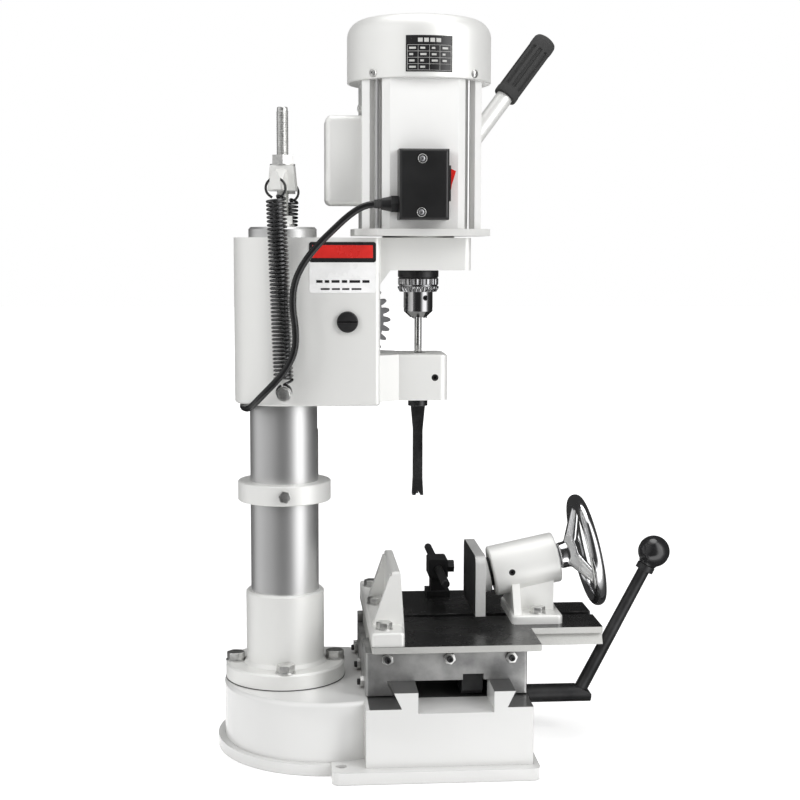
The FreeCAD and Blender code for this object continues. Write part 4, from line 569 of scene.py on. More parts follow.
class MORTISER_OT_finishes(bpy.types.Operator):
    """Makes the materials and gives them to the nodes of the frame"""
    bl_idname = "mortiser.finishes"
    bl_label = "Finishes"

    def execute(self, context):
        patches_group()
        wear_and_shade_group()
        s = settings()
        enamel = tuple(s.enamel)
        enamel_finish("white_enamel", enamel)
        enamel_finish("base_enamel", enamel, base_bare_and_shaded)
        enamel_finish("shell_enamel", tuple(min(0.95, c * 1.18) for c in enamel))
        metal_finish("ground_steel", (0.42, 0.42, 0.42), (0.48, 0.48, 0.48), (0.045, 0.08), patch=9,
                     grain=60, stretch=(1, 1, 30), depth=0.00001, strength=0.06)
        metal_finish("zinc_plate", (0.62, 0.62, 0.61), (0.84, 0.84, 0.82), (0.24, 0.44), patch=160, grain=1600)
        metal_finish("machined_iron", (0.26, 0.26, 0.26), (0.62, 0.62, 0.61), (0.30, 0.46), patch=22,
                     grain=500, stretch=(1, 1, 6), metallic=0.75, depth=0.00006)
        metal_finish("tool_steel", (0.12, 0.12, 0.125), (0.24, 0.24, 0.25), (0.26, 0.42), patch=60, grain=900)
        metal_finish("chisel_steel", (0.030, 0.030, 0.031), (0.085, 0.085, 0.087), (0.24, 0.38), patch=45,
                     grain=400, stretch=(1, 1, 8), metallic=0.8)
        metal_finish("chuck_steel", (0.34, 0.34, 0.35), (0.50, 0.50, 0.51), (0.10, 0.20), patch=80, grain=120,
                     stretch=(1, 1, 14))
        metal_finish("drill_steel", (0.50, 0.50, 0.50), (0.66, 0.66, 0.66), (0.12, 0.22), patch=60, grain=100,
                     stretch=(1, 1, 20))
        self.wheel_finish()
        metal_finish("black_oxide", (0.016, 0.016, 0.017), (0.035, 0.035, 0.036), (0.30, 0.46), metallic=0.35,
                     patch=40, grain=1200, depth=0.00004, wear=0.35, edge_color=(0.16, 0.16, 0.16))
        metal_finish("spring_wire", (0.07, 0.07, 0.072), (0.15, 0.15, 0.153), (0.14, 0.24), metallic=0.9,
                     patch=150, grain=900, wear=0.0)
        metal_finish("bronze", (0.36, 0.22, 0.09), (0.55, 0.36, 0.16), (0.28, 0.42), patch=70, grain=800)
        metal_finish("windings", (0.32, 0.12, 0.05), (0.45, 0.18, 0.08), (0.35, 0.5), patch=50, grain=300,
                     stretch=(1, 1, 12), metallic=0.6)
        self.sleeve_finish()
        plastic_finish("black_moulding", (0.012, 0.012, 0.0125), (0.30, 0.40))
        plastic_finish("bakelite", (0.018, 0.018, 0.019), (0.10, 0.18), grain=300, strength=0.08, coat=0.4)
        # Black rubber: its strong pale edges are a painted highlight, meant to bring out the ridges of the
        # grip's flutes.
        plastic_finish("black_rubber", (0.012, 0.012, 0.0125), (0.14, 0.20), grain=1500, depth=0.00002,
                       strength=0.2, edge_wear_and_highlight=0.9, pale_edge_and_highlight=0.16)
        plastic_finish("lead_sheath", (0.011, 0.011, 0.0115), (0.20, 0.30), grain=700, depth=0.00003)
        plastic_finish("red_moulding", (0.78, 0.025, 0.018), (0.16, 0.24), grain=500, strength=0.08, coat=0.3)
        plastic_finish("plate_black", (0.020, 0.020, 0.021), (0.22, 0.30), grain=400, strength=0.1)
        plastic_finish("plate_print", (0.62, 0.62, 0.60), (0.30, 0.38), grain=400, strength=0.1)
        plastic_finish("plate_pale", (0.93, 0.93, 0.92), (0.24, 0.30), grain=300, strength=0.06)
        plastic_finish("plate_red", tuple(s.band), (0.24, 0.32), grain=300, strength=0.06)
        two_tone_iron("table_iron", table_machined,
                      (0.045, 0.045, 0.045), (0.62, 0.62, 0.60), 0.26, 0.55)
        two_tone_iron("jaw_iron", lambda f: mathed(f.tree, "LESS_THAN", f.facing("X"), -0.7),
                      (0.050, 0.050, 0.050), (0.66, 0.66, 0.65), 0.34, 0.52)
        wearing = {
            "white_enamel": ["column_flange", "depth_collar", "head_casting", "motor_plate", "fan_cover",
                             "capacitor_box", "spring_yoke", "fence", "vise_body", "lever_arm", "lever_hub"],
            "base_enamel": ["base_casting"],
            "shell_enamel": ["motor_housing"],
            "ground_steel": ["column", "motor_tie_rods", "motor_bearings", "motor_rotor"],
            "zinc_plate": ["tension_nuts", "capacitor"],
            "machined_iron": ["saddle", "gib_strips", "motor_stator"],
            "chisel_steel": ["hollow_chisel"],
            "tool_steel": ["feed_gear", "column_rack", "vise_screw"],
            "chuck_steel": ["chuck_body", "chuck_jaws"],
            "polished_chrome": ["handwheel"],
            "black_oxide": ["feed_arm", "feed_shaft", "pinion_shaft", "saddle_rack", "vise_quill",
                            "stop_block", "stop_rod", "nose_screw", "lock_screws"],
            "bronze": ["pinion_bushes"],
            "black_moulding": ["cooling_fan", "switch_box", "cable_gland"],
            "red_moulding": ["switch_rocker"],
            "table_iron": ["table_plate"],
            "jaw_iron": ["vise_jaw"],
        }
        for finish, nodes in wearing.items():
            for name in nodes:
                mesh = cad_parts[name].data
                mesh.materials.clear()
                mesh.materials.append(bpy.data.materials[finish])
        return {"FINISHED"}

    def wheel_finish(self):
        """Chrome, bright on the rim and satin on the hub and spokes."""
        f = Finish("polished_chrome", patch=30, grain=300, edge=0.0010, hollow=0.008)
        place = f.tree.nodes.new("ShaderNodeTexCoord")
        away = node(f.tree, "ShaderNodeVectorMath", operation="DISTANCE")
        f.tree.links.new(place.outputs["Object"], away.inputs[0])
        away.inputs[1].default_value = WHEEL_CENTRE
        rim = ranged(f.tree, away.outputs["Value"], WHEEL_REACH - 0.010, WHEEL_REACH - 0.006)
        shade = mixed(f.tree, f.patches, (0.74, 0.74, 0.75), (0.86, 0.86, 0.87))
        # Painted shade: recesses of the wheel darkened.
        shade = f.over(shade, f.painted_shade, 0.5, (0.22, 0.22, 0.22))
        f.set(Base_Color=shade, Metallic=1.0, Roughness=ranged(f.tree, rim, 0, 1, 0.30, 0.08))
        f.bump(f.grain, 0.00003, 0.12)

    def sleeve_finish(self):
        """Polished chuck sleeve with a blackened upper band."""
        f = Finish("sleeve_steel", patch=60, grain=160, stretch=(1, 1, 12), edge=0.0005, hollow=0.004)
        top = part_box("chuck_sleeve")[1].z
        black = between(f, f.coordinate("Z"), top - 0.0105, top - 0.0003)
        bright = mixed(f.tree, f.patches, (0.36, 0.36, 0.37), (0.52, 0.52, 0.53))
        # Painted shade: recesses of the sleeve darkened nearly to black.
        bright = f.over(bright, f.painted_shade, 0.6, (0.05, 0.05, 0.05))
        f.set(Base_Color=mixed(f.tree, black, bright, (0.022, 0.022, 0.023)),
              Metallic=ranged(f.tree, black, 0, 1, 1.0, 0.3),
              Roughness=ranged(f.tree, black, 0, 1, 0.16, 0.34))
        f.bump(f.grain, 0.00003, 0.2)


# ---- camera ----
class MORTISER_OT_camera(bpy.types.Operator):
    """Adds the camera in front of the machine"""
    bl_idname = "mortiser.camera"
    bl_label = "Camera"

    def execute(self, context):
        lens = bpy.data.cameras.new("front_camera")
        lens.lens = 66.34
        lens.sensor_width = 36
        lens.clip_start, lens.clip_end = 0.05, 50
        camera = shown("front_camera", lens)
        place = Matrix.Translation(CAMERA_PLACE)
        for degrees, axis in CAMERA_TURNS:
            place = place @ Matrix.Rotation(math.radians(degrees), 4, axis)
        camera.matrix_world = place
        context.scene.camera = camera
        return {"FINISHED"}


# ---- supply lead ----
def coil_points(start=-76, end=950, step=24):
    """Control points of the turns: out at the bottom, in, up a layer and out again."""
    squeeze = 0.75 + 0.25 * math.cos(math.radians(step))
    changes = [(215, 255, 46, 38, "radius"), (700, 760, 38, 46, "radius"), (510, 565, 4, 12, "height")]
    points = []
    angle = start
    while angle <= end:
        radius, height = 46.0, 4.0
        for low, high, before, after, what in changes:
            share = min(1, max(0, (angle - low) / (high - low)))
            share = share * share * (3 - 2 * share)
            if share > 0:
                if what == "radius":
                    radius = before + (after - before) * share
                else:
                    height = before + (after - before) * share
        a, reach = math.radians(angle), radius / squeeze
        points.append((COIL_CENTRE.x + reach * math.cos(a), COIL_CENTRE.y + reach * math.sin(a), height))
        angle += step
    return points


class MORTISER_OT_lead(bpy.types.Operator):
    """Lays the supply lead along its route, coils its spare length and adds its sleeve and plug"""
    bl_idname = "mortiser.lead"
    bl_label = "Supply lead and plug"

    def execute(self, context):
        s = settings()
        points = lift(LEAD_ROUTE + coil_points() + PLUG_TAIL)
        line = mesh_of_curve(smooth_line("lead_line", points))
        bpy.data.meshes.remove(line)
        tube = mesh_of_curve(smooth_line("supply_lead", points, radius=s.lead_diameter / 2, sides=3))
        lead = piece_of(tube, "supply_lead", "lead_sheath", sharp=60)
        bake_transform(lead)
        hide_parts("power_lead", "lead_coil")
        plug = self.plug()
        sleeve = self.sleeve(points[0], points[1] - points[0], s.lead_diameter / 2)
        return {"FINISHED"}

    def sleeve(self, place, direction, radius):
        """Tapered strain relief that grips the lead where it leaves the gland."""
        bm = bmesh.new()
        outline = [(radius * 0.9, 0.0)]
        for k in range(3):
            z = 0.0005 + 0.0030 * k
            r = radius + 0.0018 - 0.0004 * k
            outline += [(r, z), (r, z + 0.0016), (r - 0.0005, z + 0.0019), (r - 0.0005, z + 0.0028)]
        outline += [(radius + 0.0003, 0.0100), (radius * 0.9, 0.0100)]
        turned(bm, outline, steps=24, matrix=aimed(direction, place + direction.normalized() * -0.0015))
        piece = piece_from(bm, "lead_sleeve", "black_rubber", sharp=40)
        return carried(piece, "head", "black_rubber")

    def plug(self):
        """Moulded two-pin plug that lies on the coil."""
        bm = bmesh.new()

        def grip(part):
            outline = [(0.0, -0.018), (0.0062, -0.018), (0.0070, -0.012), (0.0098, -0.002), (0.0108, 0.006),
                       (0.0104, 0.013), (0.0086, 0.0180), (0.0, 0.0182)]
            turned(part, outline, steps=40)
            bmesh.ops.scale(part, vec=(1.32, 0.98, 1.0), verts=part.verts)

        def face(part):
            box_shape(part, (-0.0148, -0.0106, 0.0), (0.0148, 0.0106, 0.022), 0.0035, 4)

        toward = aimed(BACK, PLUG_AT)
        added(bm, toward, grip)
        added(bm, toward, face)
        for k in range(4):
            added(bm, toward @ Matrix.Translation((0, 0, -0.0165 + 0.0032 * k)),
                  lambda part: turned(part, [(0.0045, 0), (0.0066, 0.0002), (0.0068, 0.0011),
                                             (0.0066, 0.0019), (0.0045, 0.0020)], steps=28))
        body = piece_from(bm, "plug_body", "black_rubber", sharp=38)
        carried(body, "stand", "black_rubber", "plug")
        bm = bmesh.new()
        for side in (-1, 1):
            added(bm, toward, lambda part: box_shape(part, (side * 0.008 - 0.003, -0.001, 0.020),
                                                     (side * 0.008 + 0.003, 0.001, 0.0395), 0.0006, 2))
        pins = piece_from(bm, "plug_pins", "zinc_plate", sharp=38)
        carried(pins, "stand", "zinc_steel")
        pins.parent = body
        pins.matrix_parent_inverse = STILL
        return body


# ---- balance springs ----
class MORTISER_OT_springs(bpy.types.Operator):
    """Winds the two balance springs between the yoke and the head"""
    bl_idname = "mortiser.springs"
    bl_label = "Balance springs"

    def execute(self, context):
        s = settings()
        wire = s.spring_wire / 2
        coil_r = SPRING_RADIUS - wire
        for side, name in ((-1, "front_spring"), (1, "rear_spring")):
            y = side * SPRING_SIDE
            low, high = Vector((0, y, EYE_LOW)), Vector((y * math.sin(SPRING_LEAN), y, EYE_HIGH))
            long = (high - low).length
            z0, z1 = 0.0135, long - 0.0125
            turns = int((z1 - z0) / s.spring_pitch)
            per_turn = 18
            bm = bmesh.new()
            ring = bmesh.ops.create_circle(bm, segments=8, radius=wire)["verts"]
            bmesh.ops.rotate(bm, cent=(0, 0, 0), matrix=Matrix.Rotation(math.pi / 2, 3, "X"), verts=ring)
            bmesh.ops.translate(bm, vec=(coil_r, 0, z0), verts=ring)
            wound(bm, ring, (z1 - z0) / turns / per_turn, turns, per_turn * turns)
            for at, way, loop_r in ((z0, -1, 0.0080), (z1, 1, 0.0110)):
                self.hook(bm, coil_r, at, way, loop_r, long, wire)
            tilt = (high - low).normalized()
            frame_x = BACK.cross(tilt).normalized()
            turn = Matrix((frame_x, tilt.cross(frame_x), tilt)).transposed().to_4x4()
            bmesh.ops.transform(bm, matrix=Matrix.Translation(low) @ turn, verts=bm.verts)
            spring = piece_from(bm, name, "spring_wire", sharp=60, merge=0)
            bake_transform(spring)
            if side < 0:
                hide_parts("balance_springs")
        return {"FINISHED"}

    def hook(self, bm, coil_r, at, way, loop_r, long, wire):
        """End of the wire: out of the last turn, in to the middle and round in a loop."""
        centre = 0.0 if way < 0 else long
        gap = abs(centre - at)
        route = [(coil_r, -0.001 * way, at), (coil_r * 0.98, 0.003, at + way * 0.0012),
                 (coil_r * 0.62, 0.0045, at + way * 0.0032), (0.0012, 0.0022, at + way * 0.0050)]
        neck = gap - loop_r
        route += [(0.0, 0.0, at + way * max(0.0056, neck * 0.8))] if neck > 0.004 else []
        steps = 13
        for k in range(steps):
            a = math.radians(8 + 330 * k / (steps - 1))
            route.append((loop_r * 1.02 * math.sin(a), 0, centre - way * loop_r * 1.02 * math.cos(a)))
        poured(bm, mesh_of_curve(smooth_line("hook", route, radius=wire, resolution=4)))


# ---- lever grip, wheel and ball ----
def lever_axis():
    return Vector((math.cos(LEVER_SPLAY) * math.cos(LEVER_RISE), math.sin(LEVER_SPLAY),
                   math.cos(LEVER_SPLAY) * math.sin(LEVER_RISE)))


class MORTISER_OT_lever(bpy.types.Operator):
    """Moulds the fluted grip of the feed lever"""
    bl_idname = "mortiser.lever"
    bl_label = "Feed lever grip"

    def execute(self, context):
        flutes = settings().grip_flutes
        bm = bmesh.new()
        outline = [(0.0112, 0.0), (0.0136, 0.0), (0.0150, 0.0008), (0.0154, 0.0026), (0.0154, 0.0085),
                   (0.0149, 0.0100)]
        outline += [(0.0149, 0.0110 + 0.0014 * k) for k in range(49)]
        outline += [(0.0149, 0.0790), (0.0153, 0.0806), (0.0154, 0.0870), (0.0150, 0.0912), (0.0138, 0.0936),
                    (0.0115, 0.0948), (0.0, 0.0950)]
        turned(bm, outline, steps=flutes * 16)
        for v in bm.verts:
            if 0.0115 < v.co.z < 0.0780:
                end = min(v.co.z - 0.0125, 0.0770 - v.co.z) / 0.0030
                across = abs((math.atan2(v.co.y, v.co.x) / FULL * flutes) % 1 - 0.5) / 0.31
                deep = max(0.0, 1 - across ** 2 - max(0.0, 1 - end) ** 2)
                v.co -= Vector((v.co.x, v.co.y, 0)).normalized() * 0.0026 * min(1.0, 2.2 * deep)
        place = LEVER_FOOT + lever_axis() * 0.352
        bmesh.ops.transform(bm, matrix=aimed(lever_axis(), place), verts=bm.verts)
        carried(piece_from(bm, "lever_grip_sleeve", "black_rubber", sharp=24), "feed_lever", "black_rubber",
                "lever_grip")
        return {"FINISHED"}


class MORTISER_OT_ball(bpy.types.Operator):
    """Turns the ball knob of the saddle lever"""
    bl_idname = "mortiser.ball"
    bl_label = "Ball knob"

    def execute(self, context):
        low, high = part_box("arm_ball")
        middle = (low + high) / 2
        radius = (high.z - low.z) / 2
        lean = math.radians(27.5)
        outline = [(0.0, -radius * 0.985), (0.0100, -radius * 0.985)]
        for k in range(1, 24):
            a = math.pi * (k / 24)
            dip = 0.00025 if k == 12 else 0.0
            if radius * math.sin(a) > 0.0104 or k > 12:
                outline.append(((radius - dip) * math.sin(a), -(radius - dip) * math.cos(a)))
        outline.append((0.0, radius))
        bm = bmesh.new()
        turned(bm, outline, steps=64, matrix=aimed((math.sin(lean), 0, math.cos(lean)), middle))
        carried(piece_from(bm, "ball_knob", "bakelite", sharp=40), "saddle_lever", "black_plastic",
                "arm_ball")
        return {"FINISHED"}


class MORTISER_OT_cover(bpy.types.Operator):
    """Spins the low-domed cover over the motor's fan"""
    bl_idname = "mortiser.cover"
    bl_label = "Motor cover"

    def execute(self, context):
        radius, wall, bend = COVER_HIGH.x - SPINDLE.x, 0.0025, settings().cover_bend
        foot, top = COVER_LOW.z, COVER_LOW.z + settings().cover_high

        def arc(reach, height, turn):
            return [(reach - turn + turn * math.cos(a), height - turn + turn * math.sin(a))
                    for a in (math.pi / 2 * k / 12 for k in range(13))]

        outline = [(radius - wall, foot + 0.0006), (radius - wall + 0.0006, foot), (radius - 0.0008, foot),
                   (radius, foot + 0.0008), *arc(radius, top, bend), (0.0, top), (0.0, top - wall),
                   *reversed(arc(radius - wall, top - wall, bend - wall)), (radius - wall, foot + 0.0006)]
        bm = bmesh.new()
        turned(bm, outline, steps=120, matrix=Matrix.Translation(SPINDLE))
        carried(piece_from(bm, "cover_shell", "white_enamel"), "head", "white_enamel", "fan_cover")
        return {"FINISHED"}


class MORTISER_OT_wheel(bpy.types.Operator):
    """Blends the rim, spokes and hub of the handwheel into one polished casting"""
    bl_idname = "mortiser.wheel"
    bl_label = "Handwheel"

    def execute(self, context):
        bm = bmesh.new()
        bm.from_mesh(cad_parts["handwheel"].data)
        bmesh.ops.remove_doubles(bm, verts=bm.verts, dist=1e-6)
        self.broad_spokes(bm)
        holder = shown("wheel_rough", mesh_from(bm, "wheel_rough"))
        remesh = holder.modifiers.new("even", "REMESH")
        remesh.mode = "VOXEL"
        remesh.voxel_size = 0.0011
        soften = holder.modifiers.new("soften", "SMOOTH")
        soften.factor, soften.iterations = 0.5, 16
        carried(piece_of(baked(holder), "wheel_casting", "polished_chrome", sharp=70), "vise_wheel",
                "polished_chrome", "handwheel")
        return {"FINISHED"}

    def broad_spokes(self, bm):
        """Flat sides that make each round spoke a broad one."""
        axis = Vector((math.cos(VISE_TILT), 0, math.sin(VISE_TILT)))
        over = Vector((-math.sin(VISE_TILT), 0, math.cos(VISE_TILT)))
        for turn in (90, 210, 330):
            out = BACK * math.cos(math.radians(turn)) + over * math.sin(math.radians(turn))
            inner = WHEEL_CENTRE - axis * 0.017 + out * 0.010
            run = WHEEL_CENTRE + out * WHEEL_REACH - inner
            across = axis.cross(out)
            columns = (across, run.cross(across).normalized() * 0.5, run.normalized())
            matrix = Matrix(columns).transposed().to_4x4()
            matrix.translation = inner + run / 2
            bmesh.ops.create_cone(bm, cap_ends=True, segments=28, radius1=0.0150, radius2=0.0085,
                                  depth=run.length, matrix=matrix)


# ---- threaded rod and bolts ----
class MORTISER_OT_rod(bpy.types.Operator):
    """Cuts the thread of the tension rod"""
    bl_idname = "mortiser.rod"
    bl_label = "Tension rod"

    def execute(self, context):
        pitch = settings().thread_pitch
        crest, root = 0.00695, 0.0060
        z0, z1 = COLUMN_HIGH.z - 0.001, ROD_HIGH.z - 0.0025
        turns = int((z1 - z0) / pitch) - 1
        per_turn = 24
        bm = bmesh.new()
        tooth = ((root, 0), (crest, pitch * 0.42), (crest, pitch * 0.55), (root, pitch))
        verts = [bm.verts.new((r, 0, z0 + dz)) for r, dz in tooth]
        edges = [bm.edges.new(pair) for pair in zip(verts, verts[1:])]
        bmesh.ops.spin(bm, geom=verts + edges, cent=(0, 0, 0), axis=UP, dvec=(0, 0, pitch / per_turn),
                       angle=FULL * turns, steps=per_turn * turns)
        bmesh.ops.remove_doubles(bm, verts=bm.verts, dist=1e-6)
        added(bm, STILL, lambda part: turned(
            part, [(0.0, z0 - 0.0005), (root + 0.0002, z0 - 0.0005), (root + 0.0002, z1 - 0.001),
                   (root, ROD_HIGH.z - 0.0006), (root - 0.0008, ROD_HIGH.z), (0.0, ROD_HIGH.z)], steps=32))
        carried(piece_from(bm, "threaded_rod", "zinc_plate", sharp=30, merge=0), "stand", "zinc_steel",
                "tension_rod")
        return {"FINISHED"}


def bolt_set(name, body, slot, finish, nodes, places):
    """Hexagon bolts: places hold (seat, direction, flats, head height, washer radius, washer thickness)."""
    bm = bmesh.new()
    for seat, direction, flats, high, washer_r, thick in places:
        at = aimed(direction, seat)
        if washer_r:
            added(bm, at, lambda part: washer_shape(part, washer_r, flats * 0.2, thick))
            added(bm, at @ Matrix.Translation((0, 0, thick)),
                  lambda part: washer_shape(part, washer_r * 0.84, flats * 0.2, thick * 0.9))
            at = at @ Matrix.Translation((0, 0, thick * 1.9))
        added(bm, at @ Matrix.Rotation(0.35, 4, "Z"), lambda part: hexagon_head(part, flats, high))
    return carried(piece_from(bm, name, finish, sharp=30), body, slot, *nodes)


class MORTISER_OT_bolts(bpy.types.Operator):
    """Sets the hexagon bolts of the column, the fence, the vise, the collar and the springs"""
    bl_idname = "mortiser.bolts"
    bl_label = "Bolts"

    def execute(self, context):
        flange_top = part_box("column_flange")[0].z + FLANGE_RISE
        places = []
        for k in range(4):
            a = FULL * k / 4
            seat = Vector((BOLT_CIRCLE * math.cos(a), BOLT_CIRCLE * math.sin(a), flange_top))
            places.append((seat, UP, 0.019, 0.0075, 0.0120, 0.0013))
        bolt_set("flange_bolts", "stand", "zinc_steel", "zinc_plate", ["column_bolts"], places)
        foot = TABLE_HIGH.z
        fence = [(Vector((x, y, foot + 0.016)), UP, 0.016, 0.0062, 0.0100, 0.0010)
                 for x, y in ((0.112, -0.088), (0.109, 0.031), (0.110, 0.125))]
        vise = [(Vector((0.3025, 0.030 + side * 0.036, foot + 0.0105)), UP, 0.016, 0.0062, 0.0100, 0.0010)
                for side in (-1, 1)]
        bolt_set("table_bolts", "table", "zinc_steel", "zinc_plate", ["clamp_bolts"], fence + vise)
        collar_low, collar_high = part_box("depth_collar")
        seat = Vector((0, -0.0545, (collar_low.z + collar_high.z) / 2))
        bolt_set("collar_screw", "depth_collar", "zinc_steel", "zinc_plate", ["collar_bolt"],
                 [(seat, -BACK, 0.013, 0.0052, 0.0, 0.0)])
        self.spring_pins()
        return {"FINISHED"}

    def spring_pins(self):
        """Shoulder bolts through the lower spring eyes."""
        bm = bmesh.new()
        for side in (-1, 1):
            at = aimed((0, side, 0), Vector((0, side * 0.0568, 0.424)))
            added(bm, at, lambda part: turned(part, [(0.0, 0), (0.0055, 0), (0.0055, 0.0092), (0.004, 0.0092),
                                                     (0.004, 0.0192), (0.0, 0.0192)], steps=32))
            added(bm, at @ Matrix.Translation((0, 0, 0.0157)),
                  lambda part: washer_shape(part, 0.0085, 0.0039, 0.0015))
            added(bm, at @ Matrix.Translation((0, 0, 0.0172)) @ Matrix.Rotation(0.2, 4, "Z"),
                  lambda part: hexagon_head(part, 0.013, 0.0056))
        carried(piece_from(bm, "spring_pins", "zinc_plate", sharp=30), "head", "zinc_steel", "spring_bolts")


def screw_template():
    """Pan head with a cross recess, standing on local Z 0."""
    bm = bmesh.new()
    turned(bm, [(0.0, -0.0004), (0.0040, -0.0004), (0.0040, 0.0008), (0.0036, 0.0016), (0.0026, 0.0023),
                (0.0012, 0.0026), (0.0, 0.0026)], steps=32)
    bmesh.ops.recalc_face_normals(bm, faces=bm.faces)
    holder = shown("screw_head", mesh_from(bm, "screw_head"))
    bm = bmesh.new()
    for turn in (0, math.pi / 2):
        def arm(part):
            box_shape(part, (-0.0021, -0.00042, 0.0008), (0.0021, 0.00042, 0.0040))
            low = [v for v in part.verts if v.co.z < 0.002]
            bmesh.ops.scale(part, vec=(0.45, 0.8, 1), verts=low)
        added(bm, Matrix.Rotation(turn, 4, "Z"), arm)
    cutter = shown("screw_cross", mesh_from(bm, "screw_cross"))
    recess = holder.modifiers.new("recess", "BOOLEAN")
    recess.operation, recess.solver, recess.use_self, recess.object = "DIFFERENCE", "EXACT", True, cutter
    mesh = baked(holder)
    bpy.data.objects.remove(cutter)
    return mesh


class MORTISER_OT_screws(bpy.types.Operator):
    """Drives the pan head screws of the motor and the set screws of the saddle"""
    bl_idname = "mortiser.screws"
    bl_label = "Screws"

    def execute(self, context):
        head = screw_template()
        bm = bmesh.new()
        z = COVER_LOW.z + 0.006
        places = []
        for turn in (-133, -47, 47, 133):
            out = Vector((math.cos(math.radians(turn)), math.sin(math.radians(turn)), 0))
            places.append((SPINDLE + out * 0.0829 + UP * z, out, 0.4 + turn))
        places.append((Vector((SWITCH_LOW.x + 0.025, SWITCH_LOW.y, SWITCH_HIGH.z - 0.011)), -BACK, 0.7))
        places.append((Vector((SWITCH_LOW.x + 0.0242, SWITCH_LOW.y, SWITCH_LOW.z + 0.0082)), -BACK, 0.2))
        places.append((Vector((SPINDLE.x - 0.068, 0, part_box("capacitor_box")[1].z + 0.010)), -RIGHT, 0.9))
        dark = bmesh.new()
        for seat, direction, turn in places:
            on_box = direction == -BACK
            placed = head.copy()
            placed.transform(aimed(direction, seat) @ Matrix.Rotation(turn, 4, "Z")
                             @ Matrix.Scale(0.85 if on_box else 1.2, 4))
            poured(dark if on_box else bm, placed)
        carried(piece_from(bm, "cover_screws", "zinc_plate", sharp=35), "head", "zinc_steel", "case_screws")
        carried(piece_from(dark, "switch_screws", "tool_steel", sharp=35), "head", "zinc_steel")
        bm = bmesh.new()
        for seat, direction, _ in places[4:6]:
            added(bm, aimed(direction, seat), lambda part: turned(
                part, [(0.0043, -0.0003), (0.0052, -0.0003), (0.0052, 0.0010), (0.0049, 0.0013),
                       (0.0045, 0.0013), (0.0043, 0.0010), (0.0043, -0.0003)], steps=40))
        carried(piece_from(bm, "switch_screw_cups", "zinc_plate", sharp=35), "head", "zinc_steel")
        self.saddle_screws()
        return {"FINISHED"}

    def saddle_screws(self):
        """Locknuts and socket screws that press on the adjusting strips."""
        nuts, pins = bmesh.new(), bmesh.new()
        saddle_low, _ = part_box("saddle")
        places = [(Vector((x, saddle_low.y, 0.1245)), -BACK) for x in (0.115, 0.1857, 0.2565)]
        places += [(Vector((saddle_low.x, y, 0.087)), -RIGHT) for y in (-0.060, 0.012, 0.086)]
        for k, (seat, direction) in enumerate(places):
            at = aimed(direction, seat) @ Matrix.Rotation(0.3 * k, 4, "Z")
            added(nuts, at, lambda part: hexagon_head(part, 0.0120, 0.0044, 0.10))
            added(pins, at, self.socket_pin)
        carried(piece_from(nuts, "saddle_nuts", "zinc_plate", sharp=30), "saddle", "zinc_steel", "gib_screws")
        carried(piece_from(pins, "saddle_set_screws", "black_oxide", sharp=35), "saddle", "black_steel")

    def socket_pin(self, part):
        outline = [(0.0, 0.0030), (0.0036, 0.0030), (0.0036, 0.0074), (0.0032, 0.0080), (0.0021, 0.0080),
                   (0.0019, 0.0062), (0.0, 0.0060)]
        turned(part, outline, steps=24)


# ---- motor, head and chuck details ----
def wrapped_patch(bm, radius, from_x, to_x, low, high, thick):
    """Thin plate bent round the fan cover, its sides given by X."""
    a0, a1 = (math.asin((x - SPINDLE.x) / radius) for x in (from_x, to_x))
    steps = max(2, int((a1 - a0) / math.radians(2)))
    verts = [bm.verts.new((radius * math.sin(a0), -radius * math.cos(a0), z)) for z in (low, high)]
    edge = bm.edges.new(verts)
    bmesh.ops.spin(bm, geom=verts + [edge], cent=(0, 0, 0), axis=UP, angle=a1 - a0, steps=steps)
    bmesh.ops.recalc_face_normals(bm, faces=bm.faces)
    if bm.faces[:][0].normal.dot(-BACK) < 0:
        bmesh.ops.reverse_faces(bm, faces=bm.faces)
    bmesh.ops.solidify(bm, geom=bm.faces[:], thickness=-thick)
    bmesh.ops.recalc_face_normals(bm, faces=bm.faces)
    bmesh.ops.translate(bm, vec=SPINDLE, verts=bm.verts)


